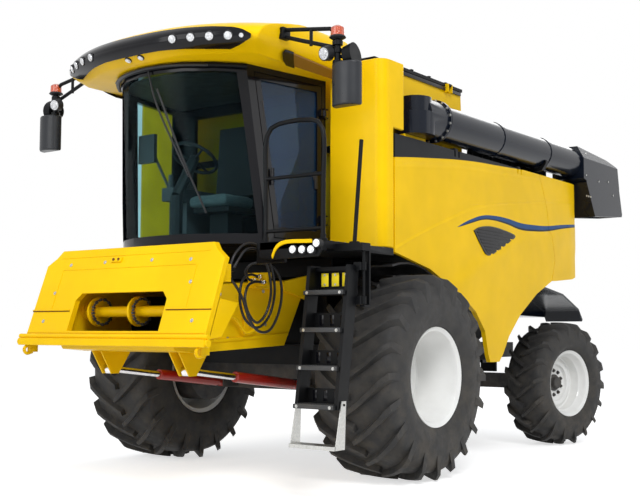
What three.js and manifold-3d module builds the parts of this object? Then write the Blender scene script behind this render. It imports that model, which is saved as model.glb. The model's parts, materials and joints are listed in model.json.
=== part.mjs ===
// Combine harvester without its header, standing on its four wheels.
// Millimetres, +Z up, the machine's front faces -Y and its left side (ladder, auger) is +X.
// The pieces are laid out from the front wheels' axle (y = 0) and the finished machine is then
// moved so that the origin lies under the middle of its footprint.

import * as THREE from "three";
import { mergeVertices } from "three/addons/utils/BufferGeometryUtils.js";
import Module from "manifold-3d";

const wasm = await Module();
wasm.setup();

// ---------- driving dimensions ----------

const SEAT_GAP = 0.3; // between faces that touch
const PIN_PLAY = 0.8; // between a pin and its bore, on the radius
const PLAY = 8; // around a piece that moves

const FRONT_END = -2240;
const REAR_END = 4760;
const WHEELBASE = 3648;
const STEER_AT_REST = -11.7; // degrees, the parked rear wheels

const TYRE_SIDES = 24;
const frontWheel = { radius: 900, width: 800, seat: 406, lip: 26, centreX: 1370, discAt: -82 };
const rearWheel = { radius: 705, width: 490, seat: 350, lip: 25, centreX: 1240, discAt: -30 };

const frame = { railIn: 800, railOut: 900, bottom: 980, top: 1160, front: -350, rear: 2700 };
const subframe = { railIn: 400, railOut: 500, rear: WHEELBASE + 352 };
const hitch = { half: 110, bottom: 900, top: 1000, end: WHEELBASE + 682 };
const housing = { half: 780, front: -230, rear: 3300, top: 1955 };
const portal = { thick: 40, post: 55, beam: 60, top: 2960 };
const engine = { half: 450, front: 1700, rear: 2500, top: 2800 };

const body = { half: 1500, wall: 40, rear: 4150, corner: 520, bow: 130, top: 3000 };
const deck = {
  bottom: housing.top + SEAT_GAP,
  top: 1999.7,
  half: body.half - 45,
  cabHalf: 900,
  cabFront: -1150,
};
const panel = { front: -305, seamRear: 2640, tip: 985 };
const chopper = { half: body.half - 760, guardOuter: 1210 };
const tank = { half: body.half - 300, front: -200, rear: 1450, top: 3200, wall: 30 };
const extension = { half: tank.half + 50, front: -250, rear: 1330, top: 3690 };
const cover = { thick: 30, lap: 14, middleGap: 10 };
const column = { inner: 930, front: -480, rear: -320, upperRear: -150, top: 3640, corner: 100 };

const cab = {
  floor: deck.top + SEAT_GAP,
  top: 3500,
  wall: 50,
  footHalf: 860,
  headHalf: 735,
  footCorner: -1250,
  headCorner: -1400,
  footNose: -1620,
  headNose: -1800,
  rearHalf: 900,
  rear: -500,
};
const roofRings = [
  // z, half width, front corner, nose, rear
  [cab.top + SEAT_GAP, 1010, -1560, -1900, -495],
  [cab.top + 100, 1110, -1690, -2045, -490],
  [cab.top + 200, 1140, -1630, -2000, -490],
  [cab.top + 280, 1130, -1350, -1830, -460],
  [cab.top + 350, 1060, -1000, -1540, -480],
  [cab.top + 380, 880, -820, -1250, -580],
];
const doorHinge = {
  x: 922,
  y: -548,
  radius: 9,
  length: 90,
  heights: [cab.floor + 250, cab.top - 300],
};

const platform = { inner: 950, outer: 1600, front: -1500, rear: -485, bottom: 1900, top: 1980 };
const ladder = {
  inner: 1385,
  outer: 1785,
  stile: 32,
  depth: 130,
  topY: -1270,
  lean: 160,
  top: 1790,
  bottom: 700,
  rise: 287,
  pivotX: 1830,
  pivotY: -1275,
  pin: 12,
};
const foldStep = { top: 735, bottom: 405, bar: 8, gap: 6, pin: 9 };

const feederPivot = { y: -330, z: 1740, radius: 40 };
const feeder = { half: 650, wall: 25, frontBottom: 1110, frontTop: 1625 };
const face = {
  half: 1030,
  topHalf: 870,
  barHalf: 1070,
  bottomY: FRONT_END + 40,
  bottomZ: 1205,
  topY: FRONT_END + 315,
  topZ: 1970,
  thick: 60,
  mouthHalf: 530,
  mouthBottom: 1280,
  mouthTop: 1590,
};
const drum = { y: -1860, z: 1440, shaft: 45, disc: 125, discWidth: 24, discAt: [-500, -20, 440] };
const lift = {
  x: 450,
  baseY: -330,
  baseZ: 800,
  eyeY: -1750,
  eyeZ: 960,
  barrel: 46,
  rod: 28,
  pin: 20,
  eye: 42,
  barrelLength: 850,
  rodLength: 770,
};

const auger = { x: body.half - 60, y: 130, radius: 172, foot: 3045, rear: 3840, tilt: 25 };
const elbowZ = auger.foot + auger.radius + 15;
const spout = {
  front: auger.rear - 280,
  bottom: 2640,
  half: auger.radius + 23,
  wall: 35,
  chuteIn: auger.x - 120,
};
const portalAt = [-300, 1505, 2600, spout.front - 60];
const augerRestAt = portalAt[2] + 20;

const mirror = { y: -1400, inner: 1620, outer: 1880, bottom: cab.top - 500, top: cab.top - 140 };
const beacon = { x: 1670, radius: 62, bottom: cab.top + 60, top: cab.top + 160 };

// ---------- materials ----------

const paint = (color, roughness, metalness = 0) =>
  new THREE.MeshStandardMaterial({ color, roughness, metalness });
const material = {
  yellow: paint(0xf5b800, 0.35, 0.1),
  black: paint(0x1c1d20, 0.55, 0.1),
  navy: paint(0x141a2e, 0.25, 0.2),
  cream: paint(0xe9e6df, 0.4, 0.1),
  rubber: paint(0x1a1a1b, 0.9),
  steel: paint(0x9a9a9a, 0.35, 0.8),
  glass: paint(0x20343a, 0.08),
  fabric: paint(0x3a4548, 0.85),
  red: paint(0xb02a1c, 0.4, 0.1),
  orange: paint(0xd8431a, 0.25),
  castIron: paint(0x2a2c30, 0.7, 0.5),
};

// ---------- solids ----------

// A closed three.js geometry as a manifold solid whose faces point out.
function solid(geometry) {
  const bare = geometry.clone();
  bare.deleteAttribute("normal");
  bare.deleteAttribute("uv");
  const merged = mergeVertices(bare, 1e-3);
  const vertProperties = merged.attributes.position.array;
  const triVerts = new Uint32Array(merged.index.array);
  const made = new wasm.Manifold(new wasm.Mesh({ numProp: 3, vertProperties, triVerts }));
  if (made.volume() > 0) return made;
  for (let i = 0; i < triVerts.length; i += 3) {
    [triVerts[i + 1], triVerts[i + 2]] = [triVerts[i + 2], triVerts[i + 1]];
  }
  return new wasm.Manifold(new wasm.Mesh({ numProp: 3, vertProperties, triVerts }));
}

function geometryOf(shape) {
  const mesh = shape.getMesh();
  const places = new Float32Array(mesh.numVert * 3);
  for (let i = 0; i < mesh.numVert; i++) {
    places.set(mesh.vertProperties.subarray(i * mesh.numProp, i * mesh.numProp + 3), i * 3);
  }
  const geometry = new THREE.BufferGeometry();
  geometry.setAttribute("position", new THREE.BufferAttribute(places, 3));
  geometry.setIndex(new THREE.BufferAttribute(new Uint32Array(mesh.triVerts), 1));
  return geometry;
}

const join = (shapes) => shapes.reduce((all, one) => all.add(one));
const cut = (shape, tools) => tools.reduce((left, tool) => left.subtract(tool), shape);
const mirrored = (shape) => solid(geometryOf(shape).scale(-1, 1, 1));

function block(x0, x1, y0, y1, z0, z1) {
  const box = new THREE.BoxGeometry(x1 - x0, y1 - y0, z1 - z0);
  return solid(box.translate((x0 + x1) / 2, (y0 + y1) / 2, (z0 + z1) / 2));
}

// An outline drawn in the plane across an axis, extruded along that axis.
// Across x the outline holds (y, z), across y it holds (x, z) and across z it holds (x, y).
const BASES = {
  x: new THREE.Matrix4().set(0, 0, 1, 0, 1, 0, 0, 0, 0, 1, 0, 0, 0, 0, 0, 1),
  y: new THREE.Matrix4().set(1, 0, 0, 0, 0, 0, 1, 0, 0, 1, 0, 0, 0, 0, 0, 1),
  z: new THREE.Matrix4(),
};
function prism(axis, outline, from, to) {
  const shape = new THREE.Shape(outline.map(([u, v]) => new THREE.Vector2(u, v)));
  const geometry = new THREE.ExtrudeGeometry(shape, { depth: to - from, bevelEnabled: false });
  return solid(geometry.translate(0, 0, from).applyMatrix4(BASES[axis]));
}

// A round bar between two points.
function bar(from, to, radius, sides = 8) {
  const start = new THREE.Vector3(...from);
  const along = new THREE.Vector3(...to).sub(start);
  const geometry = new THREE.CylinderGeometry(radius, radius, along.length(), sides);
  const turn = new THREE.Quaternion().setFromUnitVectors(
    new THREE.Vector3(0, 1, 0),
    along.clone().normalize(),
  );
  geometry.applyQuaternion(turn);
  const middle = start.add(along.multiplyScalar(0.5));
  return solid(geometry.translate(middle.x, middle.y, middle.z));
}

// A round section along a smooth route through the points.
function sweep(points, radius, steps, sides = 8) {
  const section = new THREE.Shape();
  for (let i = 0; i < sides; i++) {
    const angle = (2 * Math.PI * i) / sides;
    const place = [radius * Math.cos(angle), radius * Math.sin(angle)];
    if (i === 0) section.moveTo(...place);
    else section.lineTo(...place);
  }
  section.closePath();
  const route = new THREE.CatmullRomCurve3(
    points.map((p) => new THREE.Vector3(...p)),
    false,
    "centripetal",
  );
  return solid(new THREE.ExtrudeGeometry(section, { steps, extrudePath: route }));
}

// A closed skin over level rings of [x, y, z] points, all with the same number of points.
function loft(rings) {
  const count = rings[0].length;
  const places = rings.flat(2);
  const faces = [];
  for (let r = 0; r + 1 < rings.length; r++) {
    for (let i = 0; i < count; i++) {
      const next = (i + 1) % count;
      const [a, b] = [r * count + i, r * count + next];
      faces.push(a, b, b + count, a, b + count, a + count);
    }
  }
  const flat = rings[0].map(([x, y]) => new THREE.Vector2(x, y));
  const last = (rings.length - 1) * count;
  const flatTop = rings[rings.length - 1].map(([x, y]) => new THREE.Vector2(x, y));
  THREE.ShapeUtils.triangulateShape(flat, []).forEach(([a, b, c]) => faces.push(a, c, b));
  THREE.ShapeUtils.triangulateShape(flatTop, []).forEach(([a, b, c]) =>
    faces.push(last + a, last + b, last + c),
  );
  const geometry = new THREE.BufferGeometry();
  geometry.setAttribute("position", new THREE.Float32BufferAttribute(places, 3));
  geometry.setIndex(faces);
  return solid(geometry);
}

// A profile of [radius, x] points turned about the x axis.
function turned(profile, sides, halfStep = false) {
  const geometry = new THREE.LatheGeometry(
    profile.map(([r, x]) => new THREE.Vector2(r, x)),
    sides,
    halfStep ? Math.PI / sides : 0,
  );
  return solid(geometry.rotateZ(-Math.PI / 2));
}

function arc(centreU, centreV, radius, fromDeg, toDeg, steps) {
  return Array.from({ length: steps + 1 }, (_, i) => {
    const angle = THREE.MathUtils.degToRad(fromDeg + ((toDeg - fromDeg) * i) / steps);
    return [centreU + radius * Math.cos(angle), centreV + radius * Math.sin(angle)];
  });
}

// ---------- scene graph ----------

const combine = new THREE.Group();
const machine = new THREE.Group();
machine.position.y = -(FRONT_END + REAR_END) / 2;
combine.add(machine);

function place(name, shape, look, parent = machine) {
  const mesh = new THREE.Mesh(geometryOf(shape), look);
  mesh.name = name;
  parent.add(mesh);
}
function placePair(name, shape, look) {
  place(name + "_left", shape, look);
  place(name + "_right", mirrored(shape), look);
}

// ---------- wheels and axles ----------

const standHeight = (wheel) => wheel.radius * Math.cos(Math.PI / TYRE_SIDES);
const frontAxleZ = standHeight(frontWheel);
const rearAxleZ = standHeight(rearWheel);

function tyre(wheel) {
  const { radius, width, seat } = wheel;
  const half = width / 2;
  const bead = half - 55;
  const inner = seat + SEAT_GAP;
  const side = [
    [inner, bead],
    [seat + 40, bead + 4],
    [seat + 0.25 * (radius - seat), half - 16],
    [seat + 0.5 * (radius - seat), half],
    [radius - 60, half - 8],
    [radius, half - 62],
  ];
  const far = side.map(([r, x]) => [r, -x]).reverse();
  return turned([...side, ...far, side[0]], TYRE_SIDES, true);
}

function rim(wheel) {
  const { width, seat, discAt } = wheel;
  const flange = seat + wheel.lip;
  const bead = width / 2 - 55 + 6;
  const lip = bead + 12;
  const well = seat - 30;
  const inner = seat - 45;
  const disc = 10;
  return turned(
    [
      [0, discAt + disc],
      [inner, discAt + disc],
      [inner, lip],
      [flange, lip],
      [flange, bead],
      [seat, bead],
      [seat, 0.4 * bead],
      [well, 0.34 * bead],
      [well, -0.34 * bead],
      [seat, -0.4 * bead],
      [seat, -bead],
      [flange, -bead],
      [flange, -lip],
      [inner, -lip],
      [inner, discAt - disc],
      [0, discAt - disc],
    ],
    TYRE_SIDES,
    true,
  );
}

function frontAxle() {
  const hubFace = frontWheel.centreX + frontWheel.discAt - 10 - SEAT_GAP;
  const beam = block(-frame.railOut - 6, frame.railOut + 6, -160, 160, 740, frame.bottom - SEAT_GAP);
  const drives = [1, -1].flatMap((side) => [
    bar([side * frame.railOut + side * 5, 0, frontAxleZ], [side * 1180, 0, frontAxleZ], 300, 20),
    bar([side * 1170, 0, frontAxleZ], [side * hubFace, 0, frontAxleZ], 190, 16),
  ]);
  const lugs = [1, -1].flatMap((side) =>
    [-60, 45].map((inset) => {
      const x = side * lift.x + inset;
      return block(x, x + 15, lift.baseY - 40, -150, lift.baseZ - 45, lift.baseZ + 45);
    }),
  );
  const pins = [1, -1].map((side) =>
    bar(
      [side * lift.x - 65, lift.baseY, lift.baseZ],
      [side * lift.x + 65, lift.baseY, lift.baseZ],
      lift.pin,
    ),
  );
  return join([beam, ...drives, ...lugs, ...pins]);
}

const kingpin = { x: 905, radius: 25, boss: 62, top: 835, bottom: 575 };

function rearAxle() {
  const beam = block(-870, 870, WHEELBASE - 80, WHEELBASE + 80, 620, 790);
  const pivot = bar([0, WHEELBASE - 85, 705], [0, WHEELBASE + 130, 705], 60, 16);
  const bosses = [1, -1].map((side) =>
    bar([side * kingpin.x, WHEELBASE, 612], [side * kingpin.x, WHEELBASE, 798], kingpin.boss, 16),
  );
  const bores = [1, -1].map((side) =>
    bar(
      [side * kingpin.x, WHEELBASE, 600],
      [side * kingpin.x, WHEELBASE, 810],
      kingpin.radius + PIN_PLAY,
      16,
    ),
  );
  return cut(join([beam, pivot, ...bosses]), bores);
}

// The steering knuckle, in the frame of its kingpin, with the wheel on its +x side.
function knuckle() {
  const z = rearAxleZ;
  const hubFace = rearWheel.centreX - kingpin.x + rearWheel.discAt - 10 - SEAT_GAP;
  return join([
    block(-55, 110, -55, 55, 804, kingpin.top),
    block(-55, 110, -55, 55, kingpin.bottom, 606),
    block(85, 115, -90, 90, kingpin.bottom, kingpin.top),
    bar([0, 0, kingpin.bottom + 5], [0, 0, kingpin.top - 5], kingpin.radius, 16),
    bar([110, 0, z], [hubFace, 0, z], 110, 20),
  ]);
}

function wheels() {
  const frontTyre = tyre(frontWheel);
  const frontRim = rim(frontWheel);
  const rearTyre = tyre(rearWheel);
  const rearRim = rim(rearWheel);
  for (const [side, sideName] of [
    [1, "left"],
    [-1, "right"],
  ]) {
    const front = new THREE.Group();
    front.position.set(side * frontWheel.centreX, 0, frontAxleZ);
    machine.add(front);
    place("front_tyre_" + sideName, frontTyre, material.rubber, front);
    place("front_rim_" + sideName, side > 0 ? frontRim : mirrored(frontRim), material.cream, front);

    const steered = new THREE.Group();
    steered.position.set(side * kingpin.x, WHEELBASE, 0);
    steered.rotation.z = THREE.MathUtils.degToRad(STEER_AT_REST);
    machine.add(steered);
    const carrier = side > 0 ? knuckle() : mirrored(knuckle());
    place("rear_knuckle_" + sideName, carrier, material.castIron, steered);
    const rear = new THREE.Group();
    rear.position.set(side * (rearWheel.centreX - kingpin.x), 0, rearAxleZ);
    steered.add(rear);
    place("rear_tyre_" + sideName, rearTyre, material.rubber, rear);
    place("rear_rim_" + sideName, side > 0 ? rearRim : mirrored(rearRim), material.cream, rear);
  }
}

// ---------- frame, housing and engine ----------

function chassisFrame() {
  const { railIn, railOut, bottom, top, front, rear } = frame;
  const rails = [1, -1].flatMap((side) => {
    const [a, b] = [side * railIn, side * railOut].sort((p, q) => p - q);
    const [c, d] = [side * subframe.railIn, side * subframe.railOut].sort((p, q) => p - q);
    return [block(a, b, front, rear, bottom, top), block(c, d, rear - 100, subframe.rear, bottom, top)];
  });
  const crossings = [
    [front, front + 90],
    [1200, 1300],
    [rear - 100, rear],
  ].map(([y0, y1]) => block(-railOut, railOut, y0, y1, bottom, top));
  const tail = block(-subframe.railOut, subframe.railOut, subframe.rear - 100, subframe.rear, bottom, top);
  const axleSaddles = [-110, 130].map((y) =>
    block(-130, 130, WHEELBASE + y, WHEELBASE + y + 28, 620, bottom + 10),
  );
  const saddleTop = block(
    -subframe.railOut,
    subframe.railOut,
    WHEELBASE - 110,
    WHEELBASE + 158,
    bottom,
    1060,
  );
  const pivotBore = bar(
    [0, WHEELBASE - 160, 705],
    [0, WHEELBASE + 200, 705],
    60 + PIN_PLAY,
    16,
  );
  const drawbar = join([
    block(-hitch.half, hitch.half, subframe.rear - 60, hitch.end, hitch.bottom, hitch.top),
    block(-hitch.half, hitch.half, hitch.end - 30, hitch.end, hitch.bottom - 120, hitch.top + 40),
  ]);
  const cheeks = [1, -1].map((side) => {
    const [a, b] = [side * (railIn + 2), side * (railIn + 40)].sort((p, q) => p - q);
    return prism(
      "x",
      [
        [-345, bottom + 5],
        [-232, bottom + 5],
        [-232, 1830],
        [-370, 1830],
        [-400, 1780],
        [-400, 1660],
      ],
      a,
      b,
    );
  });
  const shaft = bar(
    [-railIn - 20, feederPivot.y, feederPivot.z],
    [railIn + 20, feederPivot.y, feederPivot.z],
    feederPivot.radius,
    20,
  );
  const whole = join([...rails, ...crossings, tail, saddleTop, ...axleSaddles, drawbar, ...cheeks, shaft]);
  return cut(whole, [pivotBore]);
}

function threshingHousing() {
  const { half, front, rear, top } = housing;
  const seat = frame.top + SEAT_GAP;
  return prism(
    "x",
    [
      [front, seat],
      [2500, seat],
      [rear, 1490],
      [rear, top],
      [front, top],
    ],
    -half,
    half,
  );
}

function bodyFrame() {
  const { thick, post, beam, top } = portal;
  const plates = [
    block(-deck.half, deck.half, column.front, portalAt[3] + thick, deck.bottom, deck.top),
    block(-deck.cabHalf, deck.cabHalf, deck.cabFront, column.front + 5, deck.bottom, deck.top),
  ];
  const portals = portalAt.flatMap((y) => [
    block(-deck.half, -deck.half + post, y, y + thick, deck.bottom + 5, top),
    block(deck.half - post, deck.half, y, y + thick, deck.bottom + 5, top),
    block(-deck.half, deck.half, y, y + thick, top - beam, top),
  ]);
  const rails = [1, -1].map((side) => {
    const [a, b] = [side * (deck.half - post), side * (deck.half - 15)].sort((p, q) => p - q);
    return block(a, b, portalAt[0], portalAt[3] + thick, top - beam, top);
  });
  return join([...plates, ...portals, ...rails]);
}

const engineBlock = () =>
  block(-engine.half, engine.half, engine.front, engine.rear, deck.top + SEAT_GAP, engine.top);

function engineHood() {
  const half = deck.half - 65;
  const seat = portal.top + SEAT_GAP;
  const top = prism(
    "y",
    [
      [-half, seat],
      [half, seat],
      [half, portal.top + 30],
      [half - 340, portal.top + 150],
      [340 - half, portal.top + 150],
      [-half, portal.top + 30],
    ],
    tank.rear + 70,
    portalAt[3] + portal.thick,
  );
  const restNotch = block(
    auger.x - 240,
    half + 10,
    augerRestAt - PLAY,
    augerRestAt + 60 + PLAY,
    2900,
    3200,
  );
  return top.subtract(restNotch);
}

function strawChopper() {
  return prism(
    "x",
    [
      [housing.rear + SEAT_GAP, 1490],
      [housing.rear + SEAT_GAP, 1950],
      [WHEELBASE + 232, 1950],
      [WHEELBASE + 342, 1905],
      [WHEELBASE + 782, 1790],
      [WHEELBASE + 852, 1520],
      [WHEELBASE + 782, 1470],
    ],
    -chopper.half,
    chopper.half,
  );
}

function rearMudguard() {
  const thick = 25;
  const outer = [
    [-698, 1640],
    [-528, 1745],
    [-288, 1810],
    [252, 1740],
    [722, 1570],
    [842, 1440],
  ].map(([y, z]) => [WHEELBASE + y, z]);
  const tail = outer.length - 1;
  const inner = outer.map(([y, z], i) => [i === tail ? y - thick : y, z - thick]).reverse();
  const housingSide = block(
    chopper.half - 40,
    housing.half + PLAY,
    2900,
    housing.rear + SEAT_GAP,
    1000,
    2000,
  );
  return prism("x", [...outer, ...inner], chopper.half - 10, chopper.guardOuter).subtract(housingSide);
}

function frontFender() {
  const inner = arc(0, frontAxleZ, frontWheel.radius + 85, 31, 106, 10);
  const outer = arc(0, frontAxleZ, frontWheel.radius + 108, 106, 31, 10);
  return prism("x", [...inner, ...outer], housing.half + SEAT_GAP, deck.half);
}

// ---------- body panels ----------

// The body seen from above, a little inside its outer face.
function planOutline(inset, front) {
  const half = body.half - inset;
  const corner = body.corner - inset;
  const rear = body.rear - body.bow - inset;
  const flat = half - corner;
  const cornerArc = arc(flat, rear - corner, corner, 0, 90, 7);
  const bow = [0.66, 0.33].map((s) => [s * flat, rear + body.bow * (1 - s * s)]);
  const right = [...cornerArc, ...bow];
  const left = right.map(([x, y]) => [-x, y]).reverse();
  return [[half, front], ...right, [0, rear + body.bow], ...left, [-half, front]];
}

function bodyShell(bottom, top) {
  const outer = prism("z", planOutline(0, panel.front), bottom, top);
  const inner = prism("z", planOutline(body.wall, panel.front - 100), bottom - 10, top + 10);
  return cut(outer, [inner]);
}

const seam = [
  [panel.front, 2028],
  [1050, 2508],
  [2784, 2722],
];
// The side panels' rear edge and the hood's front edge, from the top down.
const rearEdge = [
  [panel.seamRear, body.top],
  [2672, 2930],
  [2784, 2722],
  [2850, 2420],
  [2990, 2080],
  [2905, 1842],
];

const panelHinge = {
  x: body.half - 22,
  z: body.top + 12,
  radius: 8,
  knuckle: 17,
  at: [800, 2150],
  half: 24,
};

function upperPanel() {
  const { x, z, radius, knuckle, at, half } = panelHinge;
  const outline = [...seam, rearEdge[1], rearEdge[0], [panel.front, body.top]];
  const skin = bodyShell(1900, body.top).intersect(prism("x", outline, 300, 2000));
  const knuckles = at.map((y) => bar([x, y - half, z], [x, y + half, z], knuckle));
  const tools = at.flatMap((y) => [
    bar([x, y - 80, z], [x, y + 80, z], radius + PIN_PLAY),
    block(x - 38, x + 42, y - half - 28, y - half - 1, portal.top - 20, body.top + 50),
    block(x - 38, x + 42, y + half + 1, y + half + 28, portal.top - 20, body.top + 50),
  ]);
  return cut(join([skin, ...knuckles]), tools);
}

function lowerPanel() {
  const lowered = seam.map(([y, z]) => [y, z - SEAT_GAP]).reverse();
  const outline = [
    ...lowered,
    [panel.front, 1965],
    [280, 1850],
    [740, 1675],
    [1130, 1480],
    [1330, 1290],
    [1400, 1060],
    [1440, panel.tip],
    [1640, panel.tip],
    [1720, 1060],
    [1860, 1240],
    [2120, 1460],
    [2520, 1690],
    ...rearEdge.slice(3).reverse(),
  ];
  return bodyShell(900, 2800).intersect(prism("x", outline, 300, 2000));
}

function panelHingePins() {
  const { x, z, radius, at, half } = panelHinge;
  return at.flatMap((y) => [
    bar([x, y - half - 18, z], [x, y + half + 18, z], radius),
    block(x - 68, x + 10, y - half - 18, y - half - 6, portal.top - 10, z + 10),
    block(x - 68, x + 10, y + half + 6, y + half + 18, portal.top - 10, z + 10),
  ]);
}

// Height of a ring of the rear hood and how far its rear is drawn in there.
const hoodRings = [
  [1850, 220],
  [1960, 180],
  [2040, 115],
  [2140, 48],
  [2260, 0],
  [2490, 0],
  [2530, 34],
  [2640, 50],
  [2790, 120],
  [2890, 240],
  [2960, 410],
  [body.top, 610],
];

// The hood from its side walls round to its bowed rear, drawn in towards its top and its bottom.
function hoodRing(z, drawnIn, inset) {
  const half = body.half - inset;
  const corner = body.corner - inset;
  const flat = half - corner;
  const centreY = body.rear - body.bow - body.corner;
  const steps = 7;
  const first = Math.sin(Math.PI / 2 / steps);
  const spread = z < hoodRings[4][0] ? 0.5 : 1; // the foot is rounded all the way round its corners
  const cornerArc = Array.from({ length: steps + 1 }, (_, i) => {
    const angle = (Math.PI / 2) * (i / steps);
    const share = Math.max(0, (Math.sin(angle) - first) / (1 - first)) ** spread;
    const across = spread < 1 ? 0.35 * drawnIn * share : 0;
    return [
      flat + (corner - across) * Math.cos(angle),
      centreY + corner * Math.sin(angle) - drawnIn * share,
      z,
    ];
  });
  const rear = centreY + corner - drawnIn;
  const bow = [0.66, 0.33].map((t) => [t * flat, rear + body.bow * (1 - t * t), z]);
  const right = [...cornerArc, ...bow];
  const left = right.map(([x, y]) => [-x, y, z]).reverse();
  const start = [half, panel.seamRear, z];
  const end = [-half, panel.seamRear, z];
  return [start, ...right, [0, rear + body.bow, z], ...left, end];
}

// The corner of the hood that makes way for the parked spout, grown by a margin.
const spoutBay = (margin) =>
  prism(
    "x",
    [
      [spout.front + 60 - margin, 3200],
      [spout.front + 60 - margin, body.top - margin],
      [spout.front + 320 - PLAY, spout.bottom - PLAY - margin],
      [4300, spout.bottom - PLAY - margin],
      [4300, 3200],
    ],
    spout.chuteIn - PLAY - margin,
    1700,
  );

function rearHood() {
  const { wall, top } = body;
  const outer = loft(hoodRings.map(([z, drawnIn]) => hoodRing(z, drawnIn, 0)));
  const inner = loft(
    hoodRings.map(([z, drawnIn]) => hoodRing(z < 2300 ? z - 1 : z - wall, drawnIn, wall)),
  );
  const outline = [
    ...rearEdge.map(([y, z]) => [y + PLAY, z]),
    [3500, 1890],
    [3900, 1985],
    [4400, 2000],
    [4400, top],
  ];
  const lidFront = block(
    -body.half + wall,
    body.half - wall,
    panel.seamRear - 10,
    portalAt[3] + portal.thick + PLAY,
    2900,
    top + 10,
  );
  const skin = cut(outer.subtract(spoutBay(0)), [inner.subtract(spoutBay(wall)), lidFront]);
  return skin.intersect(prism("x", outline, -2000, 2000));
}

function frontColumn() {
  const { inner, front, corner, upperRear, rear, top } = column;
  const outer = body.half;
  const bend = arc(outer - corner, front + corner, corner, -90, 0, 5);
  const innerBend = arc(outer - corner, front + corner, corner - body.wall, 0, -90, 5);
  const wall = (back) => [
    [inner, front],
    ...bend,
    [outer, back],
    [outer - body.wall, back],
    ...innerBend,
    [inner, front + body.wall],
  ];
  return join([
    prism("z", wall(rear), deck.top + SEAT_GAP, top),
    prism("z", wall(upperRear), body.top + 46, top),
  ]);
}

// ---------- grain tank and auger ----------

function grainTank() {
  const { half, front, rear, top, wall } = tank;
  const outer = block(-half, half, front, rear, deck.top + SEAT_GAP, top);
  const hopper = prism(
    "y",
    [
      [-half + wall, top + 50],
      [-half + wall, 2700],
      [-300, 2080],
      [300, 2080],
      [half - wall, 2700],
      [half - wall, top + 50],
    ],
    front + wall,
    rear - wall,
  );
  return cut(outer, [hopper]);
}

const rectangle = (half, front, rear, z) => [
  [half, front, z],
  [half, rear, z],
  [-half, rear, z],
  [-half, front, z],
];

const coverHinge = {
  x: extension.half + 32,
  z: extension.top + 22,
  radius: 9,
  knuckle: 16,
  at: [50, 1050],
};

function tankExtension() {
  const wall = tank.wall;
  const base = tank.top + SEAT_GAP;
  const outer = loft([
    rectangle(tank.half, tank.front, tank.rear, base),
    rectangle(extension.half, extension.front, extension.rear, extension.top),
  ]);
  const inner = loft([
    rectangle(tank.half - wall, tank.front + wall, tank.rear - wall, base - 1),
    rectangle(extension.half - wall, extension.front + wall, extension.rear - wall, extension.top + 1),
  ]);
  const { x, z, radius, at } = coverHinge;
  const ears = [1, -1].flatMap((side) =>
    at.flatMap((y) => [
      bar([side * x, y - 42, z], [side * x, y + 42, z], radius),
      ...[-42, 30].map((shift) => {
        const [a, b] = [side * (extension.half - 25), side * (x + 12)].sort((p, q) => p - q);
        return block(a, b, y + shift, y + shift + 12, extension.top - 50, z + 10).subtract(
          block(-extension.half + 22, extension.half - 22, y - 80, y + 80, extension.top - 1, z + 60),
        );
      }),
    ]),
  );
  return join([cut(outer, [inner]), ...ears]);
}

function tankCover() {
  const { half, front, rear, top } = extension;
  const bottom = top + 6;
  const notches = coverHinge.at.map((y) =>
    block(half - 30, half + 60, y - 50, y + 50, bottom - 5, top + 80),
  );
  const lid = cut(
    block(
      cover.middleGap / 2,
      half + cover.lap,
      front - cover.lap,
      rear + cover.lap,
      bottom,
      bottom + cover.thick,
    ),
    notches,
  );
  const { x, z, radius, knuckle: outerRadius, at } = coverHinge;
  const knuckles = at.flatMap((y) => [
    bar([x, y - 24, z], [x, y + 24, z], outerRadius),
    block(half - 60, x, y - 24, y + 24, z - 8, z + 14),
  ]);
  const bores = at.map((y) => bar([x, y - 60, z], [x, y + 60, z], radius + PIN_PLAY));
  return cut(join([lid, ...knuckles]), bores);
}

const tubeAxisZ = (y) => elbowZ + (auger.tilt * (y - auger.y - 320)) / (auger.rear - auger.y - 320);

function augerBase() {
  const { x, y, foot } = auger;
  return join([
    bar([x, y, portal.top + 8], [x, y, foot - SEAT_GAP], auger.radius + 12, 20).intersect(
      block(tank.half - 5, deck.half - 10, y - 300, y + 300, 2900, foot + 10),
    ),
    block(tank.half - 5, x - 80, y - 90, y + 90, portal.top + 8, foot - 10),
    block(tank.half - 5, deck.half - portal.post - 5, y - 90, y + 90, foot - 260, foot - 10),
  ]);
}

function augerElbow() {
  const { x, y, radius, foot } = auger;
  const z = elbowZ;
  const riser = bar([x, y, foot], [x, y, z + 20], radius + 12, 20);
  const head = bar([x, y, z], [x, y + 330, z], radius + 12, 20);
  const flange = bar([x, y + 300, z], [x, y + 330, z], radius + 14, 20);
  const cap = bar([x, y, z + 10], [x, y, z + 160], radius - 20, 16);
  return join([riser, head, flange, cap]);
}

function augerTube() {
  const { x, y, radius, rear } = auger;
  return bar([x, y + 320, tubeAxisZ(y + 320)], [x, rear, tubeAxisZ(rear)], radius, 20);
}

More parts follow.
